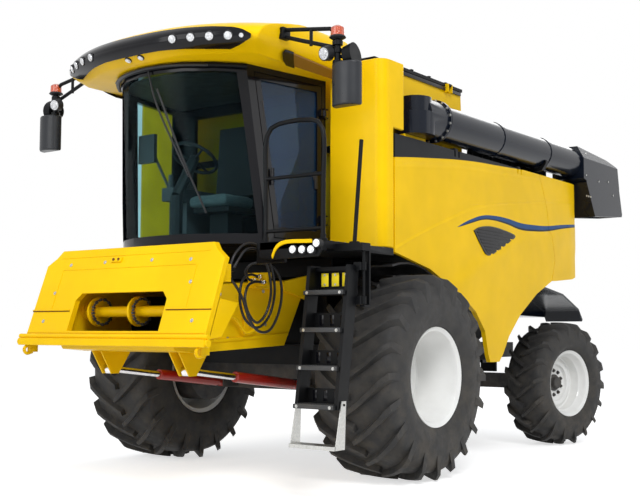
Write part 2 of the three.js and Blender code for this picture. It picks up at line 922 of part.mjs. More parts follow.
function augerSpout() {
  const { x, rear, tilt } = auger;
  const { front, bottom, half, wall, chuteIn } = spout;
  const axis = elbowZ + tilt;
  const crown = [
    [front, axis + half - 10],
    [REAR_END - 320, axis + half - 20],
    [REAR_END - 140, axis + half - 110],
  ];
  const low = [
    [REAR_END, bottom + 100],
    [REAR_END - 20, bottom + 70],
    [front + 320, bottom],
  ];
  const head = prism(
    "x",
    [[front, axis - half], ...crown, [REAR_END - 80, 3040], [front + 80, 3040]],
    x - half,
    x + half,
  );
  const chute = prism(
    "x",
    [[front + 80, 3020], [front + 80, 3080], [REAR_END - 110, 3120], ...low],
    chuteIn,
    x + half,
  );
  const hollow = prism(
    "x",
    [
      [front + 60, axis - half + 75],
      [front + 60, axis + half - 50],
      [REAR_END - 350, axis + half - 60],
      [REAR_END - 180, axis + half - 140],
      [REAR_END - 55, bottom + 40],
      [front + 340, bottom - 30],
      [front + 180, 3010],
    ],
    x - half + wall,
    x + half - wall,
  );
  const beside = block(x - half, chuteIn + wall, front, REAR_END, bottom - 60, 3040 + wall);
  const seatFor = bar(
    [x, front - 60, tubeAxisZ(front - 60)],
    [x, rear + 3, tubeAxisZ(rear + 3)],
    auger.radius + SEAT_GAP,
    20,
  );
  return cut(join([head, chute]), [hollow.subtract(beside), seatFor]);
}

function augerRest() {
  const { x, radius } = auger;
  const y = augerRestAt;
  const tubeZ = tubeAxisZ(y);
  const cradle = arc(x, tubeZ, radius + PLAY, 215, 325, 8);
  return prism(
    "y",
    [
      ...cradle,
      [x + radius - 22, tubeZ - radius + 42],
      [x + radius - 72, tubeZ - radius - 33],
      [x - 90, body.top + 15],
      [x - 90, portal.top - 5],
      [x - 180, portal.top - 5],
      [x - 180, body.top + 90],
    ],
    y,
    y + 60,
  );
}

// ---------- cab ----------

// One level ring of the cab, bowed at the front, inset from its outer skin.
function cabRing(z, inset) {
  const t = (z - cab.floor) / (cab.top - cab.floor);
  const lerp = THREE.MathUtils.lerp;
  const half = lerp(cab.footHalf, cab.headHalf, t) - inset;
  const cornerY = lerp(cab.footCorner, cab.headCorner, t) + inset * 0.8;
  const noseY = lerp(cab.footNose, cab.headNose, t) + inset;
  const front = [-1, -0.75, -0.45, -0.15, 0.15, 0.45, 0.75, 1].map((s) => [
    s * half,
    noseY + (cornerY - noseY) * Math.abs(s) ** 2.4,
    z,
  ]);
  return [
    ...front,
    [cab.rearHalf - inset, cab.rear - inset, z],
    [-(cab.rearHalf - inset), cab.rear - inset, z],
  ];
}
const cabSolid = (bottom, top, inset) => loft([cabRing(bottom, inset), cabRing(top, inset)]);

const windscreenOutline = (grow) => [
  [-800 - grow, 2085 - grow],
  [800 + grow, 2085 - grow],
  [680 + grow, cab.top - 75 + grow],
  [-680 - grow, cab.top - 75 + grow],
];
const doorOutline = (grow) => [
  [-1165 - grow, 2062 - grow],
  [-560 + grow, 2062 - grow],
  [-560 + grow, cab.top - 60 + grow],
  [-1310 - grow, cab.top - 60 + grow],
];
const doorWindow = (grow) => [
  [-1115 - grow, 2150 - grow],
  [-615 + grow, 2150 - grow],
  [-615 + grow, cab.top - 115 + grow],
  [-1248 - grow, cab.top - 115 + grow],
];
const rearWindowOutline = (grow) => [
  [-640 - grow, 2350 - grow],
  [640 + grow, 2350 - grow],
  [640 + grow, cab.top - 170 + grow],
  [-640 - grow, cab.top - 170 + grow],
];

function cabBody() {
  const outer = cabSolid(cab.floor, cab.top, 0);
  const inner = cabSolid(cab.floor + cab.wall, cab.top + 40, cab.wall);
  const openings = [
    prism("y", windscreenOutline(0), -2400, -1000),
    prism("x", doorOutline(PLAY), 300, 1400),
    prism("x", doorWindow(0), -1400, -300),
    prism("y", rearWindowOutline(0), -800, 0),
  ];
  const pins = doorHinge.heights.flatMap((z) => [
    bar(
      [doorHinge.x, doorHinge.y, z - doorHinge.length / 2],
      [doorHinge.x, doorHinge.y, z + doorHinge.length / 2],
      doorHinge.radius,
    ),
    ...[-1, 1].map((end) =>
      block(
        cab.rearHalf - 30,
        doorHinge.x + 12,
        doorHinge.y - 12,
        cab.rear - 10,
        z + end * 38 - 7,
        z + end * 38 + 7,
      ),
    ),
  ]);
  return join([cut(outer, [inner, ...openings]), ...pins]);
}

function cabDoor() {
  const skin = cut(cabSolid(cab.floor, cab.top, 0), [cabSolid(cab.floor - 1, cab.top + 1, cab.wall)]);
  const frame = cut(skin.intersect(prism("x", doorOutline(0), 300, 1400)), [
    prism("x", doorWindow(0), 300, 1400),
  ]);
  const { x, y, radius, heights } = doorHinge;
  const knuckles = heights.flatMap((z) => [
    bar([x, y, z - 26], [x, y, z + 26], radius + 8),
    block(cab.rearHalf - 42, x, y - 45, y - 4, z - 26, z + 26),
  ]);
  const bores = heights.map((z) => bar([x, y, z - 60], [x, y, z + 60], radius + PIN_PLAY));
  const handle = join([
    bar([790, -1190, 2560], [862, -1190, 2560], 12),
    bar([858, -1190, 2500], [858, -1190, 2640], 14),
  ]);
  return cut(join([frame, ...knuckles, handle]), bores);
}

const glassSheet = () =>
  cut(cabSolid(cab.floor + 20, cab.top - 20, 18), [cabSolid(cab.floor, cab.top, 26)]);
const windscreen = () =>
  glassSheet().intersect(prism("y", windscreenOutline(-SEAT_GAP), -2400, -1000));
const doorGlass = () => glassSheet().intersect(prism("x", doorWindow(-SEAT_GAP), 300, 1400));
const rightGlass = () => glassSheet().intersect(prism("x", doorWindow(-SEAT_GAP), -1400, -300));
const rearGlass = () => glassSheet().intersect(prism("y", rearWindowOutline(-SEAT_GAP), -800, 0));

// One level ring of the roof cap, bowed at the front.
function roofRing([z, half, corner, nose, rear]) {
  const front = [-1, -0.8, -0.5, -0.2, 0.2, 0.5, 0.8, 1].map((s) => [
    s * half,
    nose + (corner - nose) * Math.abs(s) ** 2.4,
    z,
  ]);
  return [...front, [half, rear, z], [-half, rear, z]];
}
const cabRoof = () => loft(roofRings.map(roofRing));

function driverSeat() {
  const z = cab.floor + cab.wall + SEAT_GAP;
  const pedestal = join([
    block(-170, 170, -960, -640, z, z + 60),
    block(-110, 110, -900, -700, z + 50, z + 300),
    block(-210, 210, -1010, -610, z + 290, z + 340),
  ]);
  const cushion = block(-240, 240, -1090, -640, z + 340 + SEAT_GAP, z + 450);
  const backrest = prism(
    "x",
    [
      [-690, z + 460],
      [-640, z + 1120],
      [-560, z + 1120],
      [-560, z + 320],
      [-625, z + 320],
      [-625, z + 460],
    ],
    -230,
    230,
  );
  return { frame: join([pedestal, backrest]), cushion };
}

const steering = { x: 0, y: -1220, z: 2800, tilt: 32, radius: 205, hub: 52 };

function steeringColumn() {
  const z = cab.floor + cab.wall + SEAT_GAP;
  const lean = THREE.MathUtils.degToRad(steering.tilt);
  const down = [0, -Math.sin(lean), -Math.cos(lean)];
  const top = [
    steering.x,
    steering.y + down[1] * (steering.hub + SEAT_GAP),
    steering.z + down[2] * (steering.hub + SEAT_GAP),
  ];
  const knee = [0, steering.y + down[1] * 420, steering.z + down[2] * 420];
  return join([
    block(-130, 130, knee[1] - 90, knee[1] + 110, z, z + 30),
    bar([0, knee[1], z + 10], knee, 55, 10),
    bar(knee, top, 48, 10),
    block(-190, 190, knee[1] - 70, knee[1] - 20, z, z + 50),
  ]);
}

function steeringWheel() {
  const wheelRim = new THREE.TorusGeometry(steering.radius, 15, 6, 20);
  const spokes = [0, 120, 240].map((deg) => {
    const angle = THREE.MathUtils.degToRad(deg + 90);
    const tip = [steering.radius * Math.cos(angle), steering.radius * Math.sin(angle), 0];
    return bar([0, 0, -20], tip, 11, 8);
  });
  const hub = bar([0, 0, -steering.hub], [0, 0, 8], 42, 12);
  const lean = THREE.MathUtils.degToRad(steering.tilt);
  const whole = geometryOf(join([solid(wheelRim), hub, ...spokes]));
  whole.rotateX(-lean).translate(steering.x, steering.y, steering.z);
  return solid(whole);
}

function armConsole() {
  const z = cab.floor + cab.wall + SEAT_GAP;
  return join([
    block(-520, -300, -1000, -560, z, z + 420),
    block(-430, -290, -1190, -620, z + 400, z + 520),
    bar([-360, -1150, z + 500], [-360, -1150, z + 640], 22, 10),
    bar([-400, -1100, z + 480], [-560, -1180, z + 860], 14, 8),
    block(-700, -500, -1230, -1190, z + 760, z + 1020),
    bar([-600, -1200, z + 860], [-560, -1170, z + 860], 16, 8),
  ]);
}

// ---------- platform, ladder and rails ----------

function platformDeck() {
  const { inner, outer, front, rear, bottom, top } = platform;
  const plate = block(inner, outer, front, rear, bottom + 20, top);
  const skirt = prism(
    "x",
    [
      [front, 1820],
      [front + 30, 1820],
      [front + 30, bottom + 60],
      [front, bottom + 60],
    ],
    inner,
    1235,
  );
  const beam = block(inner, outer, front, front + 60, bottom, top - 10);
  const lampHood = block(inner + 60, outer, front - 50, front + 20, bottom + 20, top);
  const bearer = block(inner + 105, deck.half, rear - 200, column.front - SEAT_GAP, deck.bottom, top);
  const arm = block(outer - 100, ladder.pivotX + 24, -1330, -1215, bottom, top - 20);
  const post = block(ladder.pivotX - 20, ladder.pivotX + 24, -1232, -1215, 1470, bottom + 10);
  const foot = block(ladder.pivotX - 20, ladder.pivotX + 24, -1300, -1215, 1470, 1485);
  const pin = bar(
    [ladder.pivotX, ladder.pivotY, 1475],
    [ladder.pivotX, ladder.pivotY, bottom + 10],
    ladder.pin,
    16,
  );
  return join([plate, beam, skirt, lampHood, bearer, arm, post, foot, pin]);
}

const ladderY = (z) => ladder.topY - ladder.lean * ((ladder.top - z) / (ladder.top - ladder.bottom));

function ladderFrame() {
  const { inner, outer, stile, depth, top, bottom, rise } = ladder;
  const side = [
    [ladderY(top) - depth, top],
    [ladderY(top), top],
    [ladderY(bottom), bottom],
    [ladderY(bottom) - depth, bottom],
  ];
  const stiles = [
    prism("x", side, inner, inner + stile),
    prism("x", side, outer - stile, outer),
  ];
  const steps = [0, 1, 2, 3].map((i) => {
    const z = bottom + i * rise;
    const y = ladderY(z);
    return block(inner + 10, outer - 10, y - depth - 30, y - 5, z, z + 32);
  });
  const risers = [0, 1, 2].map((i) => {
    const z = bottom + i * rise;
    const y = ladderY(z + 80);
    return block(inner + 10, outer - 10, y - 14, y - 4, z + 20, z + 150);
  });
  const header = block(inner + 10, outer - 10, ladderY(top) - 60, ladderY(top) - 5, top - 40, top - 8);
  const headBack = block(inner + 10, outer - 10, ladderY(top) - 16, ladderY(top) - 6, 1560, top - 20);
  const knuckles = [1520, 1780].flatMap((z) => [
    bar([ladder.pivotX, ladder.pivotY, z - 30], [ladder.pivotX, ladder.pivotY, z + 30], 21, 14),
    block(outer - 15, ladder.pivotX, ladder.pivotY - 50, ladder.pivotY - 12, z - 30, z + 30),
  ]);
  const bores = [1520, 1780].map((z) =>
    bar(
      [ladder.pivotX, ladder.pivotY, z - 60],
      [ladder.pivotX, ladder.pivotY, z + 60],
      ladder.pin + PIN_PLAY,
      16,
    ),
  );
  const foldPins = [
    [inner - 20, inner + 5],
    [outer - 5, outer + 20],
  ].map(([a, b]) => {
    const y = ladderY(foldStep.top) - depth / 2;
    return bar([a, y, foldStep.top], [b, y, foldStep.top], foldStep.pin);
  });
  const whole = join([...stiles, ...steps, ...risers, header, headBack, ...knuckles, ...foldPins]);
  return cut(whole, bores);
}

function ladderStep() {
  const { inner, outer, depth } = ladder;
  const { top, bottom, bar: thick, gap, pin } = foldStep;
  const y = ladderY(top) - depth / 2;
  const footY = ladderY(bottom) - depth / 2;
  const outline = [
    [y - 28, top + 28],
    [y + 28, top + 28],
    [footY + 60, bottom],
    [footY - 60, bottom],
  ];
  const plates = [
    prism("x", outline, inner - gap - thick, inner - gap),
    prism("x", outline, outer + gap, outer + gap + thick),
  ];
  const tread = block(inner - gap - 4, outer + gap + 4, footY - 80, footY + 60, bottom, bottom + 30);
  const bores = [bar([inner - 60, y, top], [outer + 60, y, top], pin + PIN_PLAY)];
  return cut(join([...plates, tread]), bores);
}

function platformRailing() {
  const y = platform.front + 40;
  const z = platform.top - 10;
  const [left, right, top] = [1010, 1580, 2930];
  const r = 19;
  const hoop = sweep(
    [
      [left, y, z],
      [left, y, 2400],
      [left, y, top - 110],
      [left + 35, y, top - 35],
      [left + 110, y, top],
      [right - 110, y, top],
      [right - 35, y, top - 35],
      [right, y, top - 110],
      [right, y, 2400],
      [right, y, z],
    ],
    r,
    30,
  );
  return join([
    hoop,
    bar([left, y, 2500], [right, y, 2500], 15, 8),
    bar([left, y, 2075], [right, y, 2075], 15, 8),
  ]);
}

function handPole() {
  const z = platform.top - 10;
  return join([
    bar([1575, -1030, z], [1575, -1030, z + 30], 42, 12),
    bar([1575, -1030, z], [1575, -930, 2840], 17, 8),
  ]);
}

// ---------- feeder ----------

const slopeY = (z) =>
  face.bottomY + ((z - face.bottomZ) * (face.topY - face.bottomY)) / (face.topZ - face.bottomZ);

function feederHouse() {
  const { half, wall, frontBottom, frontTop } = feeder;
  const frontBottomY = slopeY(frontBottom) + face.thick + SEAT_GAP + 8;
  const frontTopY = slopeY(frontTop) + face.thick + SEAT_GAP;
  const outline = [
    [slopeY(1190) + face.thick + SEAT_GAP, 1190],
    [frontTopY, frontTop],
    [-470, 1745],
    [-460, 1690],
    [-760, 1160],
    [frontBottomY + 300, frontBottom],
    [frontBottomY + 60, frontBottom + 20],
  ];
  const outer = prism("x", outline, -half, half);
  const tunnel = prism(
    "x",
    [
      [-2400, 1160 + wall],
      [-2400, frontTop - 45],
      [frontTopY, frontTop - wall],
      [-380, 1720],
      [-740, 1188],
      [frontBottomY + 300, frontBottom + wall],
      [frontBottomY + 80, frontBottom + wall + 20],
    ],
    -half + wall,
    half - wall,
  );
  const ears = [1, -1].map((side) => {
    const [a, b] = [side * (half - 2), side * (half + 42)].sort((p, q) => p - q);
    return prism(
      "x",
      [
        [-820, 1640],
        [-820, 1712],
        [-360, 1800],
        [-290, 1800],
        [-270, 1740],
        [-290, 1680],
        [-470, 1560],
      ],
      a,
      b,
    );
  });
  const bore = bar(
    [-900, feederPivot.y, feederPivot.z],
    [900, feederPivot.y, feederPivot.z],
    feederPivot.radius + PIN_PLAY,
    20,
  );
  const drumBosses = [1, -1].map((side) => {
    const [a, b] = [side * (half - wall - 20), side * (half - 5)].sort((p, q) => p - q);
    return bar([a, drum.y, drum.z], [b, drum.y, drum.z], 70, 14);
  });
  const drumBore = bar(
    [-half + wall - 18, drum.y, drum.z],
    [half - wall + 18, drum.y, drum.z],
    drum.shaft + PIN_PLAY,
    16,
  );
  const liftEars = [1, -1].flatMap((side) =>
    [-60, 45].map((inset) => {
      const x = side * lift.x + inset;
      return prism(
        "x",
        [
          [lift.eyeY - 170, 1125],
          [lift.eyeY + 190, 1130],
          [lift.eyeY + 40, lift.eyeZ - 40],
          [lift.eyeY - 40, lift.eyeZ - 40],
        ],
        x,
        x + 15,
      );
    }),
  );
  const shell = cut(outer, [tunnel]);
  const whole = join([shell, ...ears, ...drumBosses, ...liftEars]);
  return cut(whole, [bore, drumBore]);
}

function feederFace() {
  const { half, topHalf, barHalf, bottomZ, topZ, thick, mouthHalf, mouthBottom, mouthTop } = face;
  const slab = prism(
    "x",
    [
      [slopeY(bottomZ), bottomZ],
      [slopeY(bottomZ) + thick, bottomZ],
      [slopeY(topZ) + thick, topZ],
      [slopeY(topZ), topZ],
    ],
    -half,
    half,
  );
  const front = prism(
    "y",
    [
      [-half, bottomZ - 10],
      [half, bottomZ - 10],
      [half, topZ - 130],
      [topHalf + 60, topZ - 60],
      [topHalf, topZ + 10],
      [-topHalf, topZ + 10],
      [-topHalf - 60, topZ - 60],
      [-half, topZ - 130],
    ],
    -2600,
    -1500,
  );
  const mouth = prism(
    "y",
    [
      [-mouthHalf, mouthBottom],
      [mouthHalf, mouthBottom],
      [mouthHalf, mouthTop - 60],
      [mouthHalf - 60, mouthTop],
      [-mouthHalf + 60, mouthTop],
      [-mouthHalf, mouthTop - 60],
    ],
    -2600,
    -1500,
  );
  const lockBar = block(-barHalf, barHalf, FRONT_END, FRONT_END + 70, bottomZ - 45, bottomZ + 15);
  const flanges = [1, -1].map((side) => {
    const [a, b] = [side * (half - 45), side * (half - 5)].sort((p, q) => p - q);
    return prism(
      "x",
      [
        [slopeY(bottomZ) + thick - 5, bottomZ + 10],
        [slopeY(bottomZ) + thick + 150, bottomZ + 30],
        [slopeY(1530) + thick + 230, 1500],
        [slopeY(1530) + thick - 5, 1530],
      ],
      a,
      b,
    );
  });
  return join([slab.intersect(front).subtract(mouth), lockBar, ...flanges]);
}

function feederDrum() {
  const reach = feeder.half - feeder.wall + 17;
  return join([
    bar([-reach, drum.y, drum.z], [reach, drum.y, drum.z], drum.shaft, 16),
    ...drum.discAt.map((x) =>
      bar([x, drum.y, drum.z], [x + drum.discWidth, drum.y, drum.z], drum.disc, 20),
    ),
  ]);
}

const liftLine = new THREE.Vector3(0, lift.eyeY - lift.baseY, lift.eyeZ - lift.baseZ).normalize();
const alongLift = (side, distance) => [
  side * lift.x,
  lift.baseY + liftLine.y * distance,
  lift.baseZ + liftLine.z * distance,
];

const liftEye = (side, y, z, reach, radius) =>
  bar([side * lift.x - reach, y, z], [side * lift.x + reach, y, z], radius, 14);

function liftBarrel(side) {
  const tube = bar(alongLift(side, 80), alongLift(side, lift.barrelLength), lift.barrel, 16);
  const bore = bar(alongLift(side, 150), alongLift(side, lift.barrelLength + 40), lift.rod + PIN_PLAY, 12);
  const neck = bar(alongLift(side, 20), alongLift(side, 90), 34, 10);
  const eye = liftEye(side, lift.baseY, lift.baseZ, 38, lift.eye);
  const eyeBore = liftEye(side, lift.baseY, lift.baseZ, 60, lift.pin + PIN_PLAY);
  return cut(join([tube, eye, neck]), [bore, eyeBore]);
}

function liftRod(side) {
  const reach = Math.hypot(lift.eyeY - lift.baseY, lift.eyeZ - lift.baseZ);
  const rod = bar(alongLift(side, reach - lift.rodLength), alongLift(side, reach - 20), lift.rod, 12);
  return join([rod, liftEye(side, lift.eyeY, lift.eyeZ, 38, lift.eye)]);
}

// ---------- hoses ----------

const hose = { radius: 11, steps: 32 };
const hoseRoutes = [
  [
    [885, -1799.7, 1760],
    [885, -1765, 1760],
    [893, -1700, 1880],
    [896, -1590, 1968],
    [894, -1430, 1975],
    [892, -1270, 1850],
    [892, -1195, 1620],
    [884, -1260, 1400],
    [876, -1400, 1310],
    [866, -1540, 1380],
    [846, -1580, 1540],
    [815, -1510, 1690],
    [795, -1390, 1742],
    [790, -1290, 1730],
    [790, -1240.3, 1730],
  ],
  [
    [925, -1799.7, 1760],
    [925, -1765, 1760],
    [932, -1700, 1840],
    [934, -1610, 1925],
    [932, -1460, 1930],
    [926, -1330, 1800],
    [922, -1280, 1600],
    [916, -1340, 1420],
    [908, -1440, 1350],
    [898, -1530, 1420],
    [884, -1560, 1540],
    [860, -1500, 1640],
    [834, -1390, 1680],
    [830, -1290, 1685],
    [830, -1240.3, 1685],
  ],
  [
    [900, -1799.7, 1690],
    [900, -1765, 1690],
    [912, -1700, 1630],
    [938, -1650, 1530],
    [952, -1590, 1380],
    [954, -1480, 1285],
    [950, -1340, 1285],
    [940, -1220, 1400],
    [928, -1150, 1560],
    [916, -1150, 1700],
    [890, -1200, 1800],
    [850, -1290, 1835],
    [790, -1370, 1830],
    [745, -1390, 1770],
    [730, -1340, 1710],
    [730, -1290, 1700],
    [730, -1240.3, 1700],
  ],
];

function hoseCoupler() {
  const back = -1800;
  return join([
    prism(
      "x",
      [
        [slopeY(1660) + face.thick - 5, 1660],
        [slopeY(1800) + face.thick - 5, 1800],
        [back, 1800],
        [back, 1660],
      ],
      860,
      948,
    ),
    block(880, 930, -1850, -1815, 1790, 1850),
  ]);
}

function hoseFittings() {
  return join([
    block(640, 855, -1240, -1190, 1655, 1765),
    block(640, 730, -1240, -900, 1640, 1690),
  ]);
}

// ---------- mirrors, beacons ----------

function mirrorArm() {
  const gap = SEAT_GAP;
  const grown = roofRings.map(([z, half, corner, nose, rear]) =>
    roofRing([z, half + gap, corner - gap, nose - gap, rear + gap]),
  );
  const rootBlock = block(1080, 1176, mirror.y - 60, mirror.y + 50, cab.top + 120, cab.top + 235);
  const root = rootBlock.subtract(loft(grown));
  const y = mirror.y;
  return join([
    root,
    bar([1164, y - 10, cab.top + 208], [beacon.x, y, beacon.bottom + 40], 18),
    bar([1164, y - 10, cab.top + 148], [beacon.x, y, beacon.bottom - 80], 18),
    bar([1420, y - 10, cab.top + 185], [1420, y - 10, cab.top + 40], 14),
    bar([beacon.x, y, mirror.top - 20], [beacon.x, y, beacon.bottom + 10], 24, 10),
    bar([beacon.x, y, beacon.bottom - 70], [beacon.x, y, beacon.bottom], beacon.radius - 12, 16),
  ]);
}

function mirrorHead() {
  const { inner, outer, bottom, top, y } = mirror;
  return prism(
    "z",
    [
      [inner, y + 35],
      [inner + 15, y - 30],
      [inner + 75, y - 75],
      [outer - 75, y - 75],
      [outer - 15, y - 30],
      [outer, y + 35],
      [outer - 20, y + 50],
      [inner + 20, y + 50],
    ],
    bottom,
    top,
  );
}

const beaconLamp = () =>
  bar([beacon.x, mirror.y, beacon.bottom - 5], [beacon.x, mirror.y, beacon.top], beacon.radius, 16);

// ---------- the machine ----------

wheels();
place("chassis_frame", chassisFrame(), material.black);
place("front_axle", frontAxle(), material.castIron);
place("rear_axle", rearAxle(), material.castIron);
place("threshing_housing", threshingHousing(), material.yellow);
place(
  "body_frame",
  join([bodyFrame(), augerRest(), ...panelHingePins(), ...panelHingePins().map(mirrored)]),
  material.yellow,
);
place("engine_block", engineBlock(), material.castIron);
place("engine_hood", engineHood(), material.black);
place("straw_chopper", join([strawChopper(), rearMudguard(), mirrored(rearMudguard())]), material.navy);
placePair("front_fender", frontFender(), material.black);
placePair("side_panel_upper", upperPanel(), material.yellow);
placePair("side_panel_lower", lowerPanel(), material.yellow);
place("rear_hood", rearHood(), material.yellow);
placePair("front_column", frontColumn(), material.yellow);

place("grain_tank", join([grainTank(), augerBase()]), material.yellow);
place("tank_extension", tankExtension(), material.yellow);
placePair("tank_cover", tankCover(), material.black);
place("auger_tube", join([augerElbow(), augerTube()]), material.navy);
place("auger_spout", augerSpout(), material.navy);

place("cab_body", cabBody(), material.black);
place("cab_roof", cabRoof(), material.yellow);
place("cab_door", cabDoor(), material.black);
place("windscreen", windscreen(), material.glass);
place("door_glass", doorGlass(), material.glass);
place("window_right", rightGlass(), material.glass);
place("window_rear", rearGlass(), material.glass);
const seat = driverSeat();
place("seat_frame", seat.frame, material.black);
place("seat_cushion", seat.cushion, material.fabric);
place("steering_column", steeringColumn(), material.black);
place("steering_wheel", steeringWheel(), material.black);
place("arm_console", armConsole(), material.black);

place("platform", join([platformDeck(), platformRailing(), handPole()]), material.black);
place("ladder", ladderFrame(), material.black);
place("ladder_step", ladderStep(), material.steel);

place("feeder_house", join([feederHouse(), hoseFittings()]), material.yellow);
place("feeder_face", join([feederFace(), hoseCoupler()]), material.yellow);
place("feeder_drum", feederDrum(), material.yellow);
for (const [side, sideName] of [
  [1, "left"],
  [-1, "right"],
]) {
  place("lift_barrel_" + sideName, liftBarrel(side), material.red);
  place("lift_rod_" + sideName, liftRod(side), material.steel);
}
hoseRoutes.forEach((route, i) =>
  place("hose_" + (i + 1), sweep(route, hose.radius, hose.steps), material.rubber),
);

placePair("mirror", join([mirrorArm(), mirrorHead(), beaconLamp()]), material.black);

export default combine;
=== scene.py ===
# Combine harvester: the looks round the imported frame.
# Pieces are laid out with y = 0 at the front axle and moved into place by makePiece.
import bpy
import bmesh
import json
import math
from mathutils import Matrix, Vector

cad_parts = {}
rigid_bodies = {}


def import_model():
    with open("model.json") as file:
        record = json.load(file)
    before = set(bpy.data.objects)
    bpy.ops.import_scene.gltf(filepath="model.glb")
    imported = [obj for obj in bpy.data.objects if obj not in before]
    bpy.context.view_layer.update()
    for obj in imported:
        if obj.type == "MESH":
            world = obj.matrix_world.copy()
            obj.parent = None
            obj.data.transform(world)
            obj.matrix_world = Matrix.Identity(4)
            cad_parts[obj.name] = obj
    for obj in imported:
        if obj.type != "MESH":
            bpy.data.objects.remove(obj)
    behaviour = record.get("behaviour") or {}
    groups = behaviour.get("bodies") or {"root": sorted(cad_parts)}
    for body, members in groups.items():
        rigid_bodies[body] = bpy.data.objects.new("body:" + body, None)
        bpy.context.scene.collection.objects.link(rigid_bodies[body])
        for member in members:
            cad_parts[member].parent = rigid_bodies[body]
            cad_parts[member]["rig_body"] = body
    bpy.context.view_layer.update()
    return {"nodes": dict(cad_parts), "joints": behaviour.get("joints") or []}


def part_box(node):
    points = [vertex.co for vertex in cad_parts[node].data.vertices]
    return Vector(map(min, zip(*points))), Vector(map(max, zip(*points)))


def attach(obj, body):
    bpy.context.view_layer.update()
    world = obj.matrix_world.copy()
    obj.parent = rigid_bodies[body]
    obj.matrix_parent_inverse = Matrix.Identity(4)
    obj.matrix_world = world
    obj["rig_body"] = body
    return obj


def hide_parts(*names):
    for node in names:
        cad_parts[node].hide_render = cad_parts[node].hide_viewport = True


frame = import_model()
print("frame loaded")


def jointOf(name):
    return next(j for j in frame["joints"] if j["name"] == name)


axleY = Vector(jointOf("front_wheel_spin_left")["pos_m"]).y
sides = (("left", 1), ("right", -1))

# Materials

dirt = {"colour": (0.19, 0.155, 0.11), "topZ": 1.7, "lowZ": 0.15}


def addNode(tree, kind, **settings):
    node = tree.nodes.new(kind)
    for key, value in settings.items():
        setattr(node, key, value)
    return node


def startMaterial(name, colour, roughness, metallic=0.0):
    material = bpy.data.materials.new(name)
    material.use_nodes = True
    tree = material.node_tree
    shader = tree.nodes["Principled BSDF"]
    shader.inputs["Base Color"].default_value = (*colour, 1)
    shader.inputs["Roughness"].default_value = roughness
    shader.inputs["Metallic"].default_value = metallic
    coords = addNode(tree, "ShaderNodeTexCoord")
    return material, tree, shader, coords.outputs["Object"]


def noise(tree, coords, scale, detail=3.0, roughness=0.55):
    node = addNode(tree, "ShaderNodeTexNoise")
    node.inputs["Scale"].default_value = scale
    node.inputs["Detail"].default_value = detail
    node.inputs["Roughness"].default_value = roughness
    tree.links.new(coords, node.inputs["Vector"])
    return node.outputs["Fac"]


def ranged(tree, value, low, high, toLow=0.0, toHigh=1.0):
    node = addNode(tree, "ShaderNodeMapRange")
    for key, number in (("From Min", low), ("From Max", high), ("To Min", toLow), ("To Max", toHigh)):
        node.inputs[key].default_value = number
    tree.links.new(value, node.inputs["Value"])
    return node.outputs["Result"]


def maths(tree, operation, first, second):
    node = addNode(tree, "ShaderNodeMath", operation=operation)
    for socket, value in zip(node.inputs, (first, second)):
        if isinstance(value, (int, float)):
            socket.default_value = value
        else:
            tree.links.new(value, socket)
    return node.outputs["Value"]


def mixed(tree, share, first, second):
    node = addNode(tree, "ShaderNodeMix", data_type="RGBA")
    if isinstance(share, (int, float)):
        node.inputs["Factor"].default_value = share
    else:
        tree.links.new(share, node.inputs["Factor"])
    for socket, value in ((node.inputs["A"], first), (node.inputs["B"], second)):
        if isinstance(value, tuple):
            socket.default_value = (*value, 1)
        else:
            tree.links.new(value, socket)
    return node.outputs["Result"]


def bumped(tree, shader, height, strength, distance):
    node = addNode(tree, "ShaderNodeBump")
    node.inputs["Strength"].default_value = strength
    node.inputs["Distance"].default_value = distance
    tree.links.new(height, node.inputs["Height"])
    tree.links.new(node.outputs["Normal"], shader.inputs["Normal"])
    return node


def splitCoords(tree, coords):
    split = addNode(tree, "ShaderNodeSeparateXYZ")
    tree.links.new(coords, split.inputs["Vector"])
    return split


def dustMask(tree, coords, amount, scale=5.0):
    split = splitCoords(tree, coords)
    fade = ranged(tree, split.outputs["Z"], dirt["topZ"], dirt["lowZ"])
    spots = ranged(tree, noise(tree, coords, scale, 6.0, 0.65), 0.42, 0.68)
    return maths(tree, "MULTIPLY", maths(tree, "MULTIPLY", fade, spots), amount)


def paint(name, colour, roughness=0.3, coat=0.5, dust=0.35, shade=0.9, peel=0.05, metallic=0.0,
          specular=0.2):
    material, tree, shader, coords = startMaterial(name, colour, roughness, metallic)
    darker = tuple(c * shade for c in colour)
    tone = ranged(tree, noise(tree, coords, 1.7, 3.0), 0.35, 0.65)
    base = mixed(tree, tone, darker, colour)
    dustShare = dustMask(tree, coords, dust)
    tree.links.new(mixed(tree, dustShare, base, dirt["colour"]), shader.inputs["Base Color"])
    worn = ranged(tree, noise(tree, coords, 9.0, 5.0), 0.3, 0.75, roughness * 0.85, roughness * 1.2)
    tree.links.new(maths(tree, "ADD", worn, maths(tree, "MULTIPLY", dustShare, 0.5)),
                   shader.inputs["Roughness"])
    shader.inputs["Coat Weight"].default_value = coat
    shader.inputs["Coat Roughness"].default_value = 0.06
    shader.inputs["Specular IOR Level"].default_value = specular
    bumped(tree, shader, noise(tree, coords, 190.0, 2.0), peel, 0.002)
    return material


def plastic(name, colour, roughness=0.55, grain=420.0, strength=0.25):
    material, tree, shader, coords = startMaterial(name, colour, roughness)
    tone = ranged(tree, noise(tree, coords, 3.0, 4.0), 0.3, 0.7)
    tree.links.new(mixed(tree, tone, tuple(c * 0.78 for c in colour), colour), shader.inputs["Base Color"])
    worn = ranged(tree, noise(tree, coords, 14.0, 4.0), 0.3, 0.7, roughness * 0.8, roughness * 1.15)
    tree.links.new(worn, shader.inputs["Roughness"])
    shader.inputs["Specular IOR Level"].default_value = 0.25
    bumped(tree, shader, noise(tree, coords, grain, 2.0), strength, 0.0008)
    return material


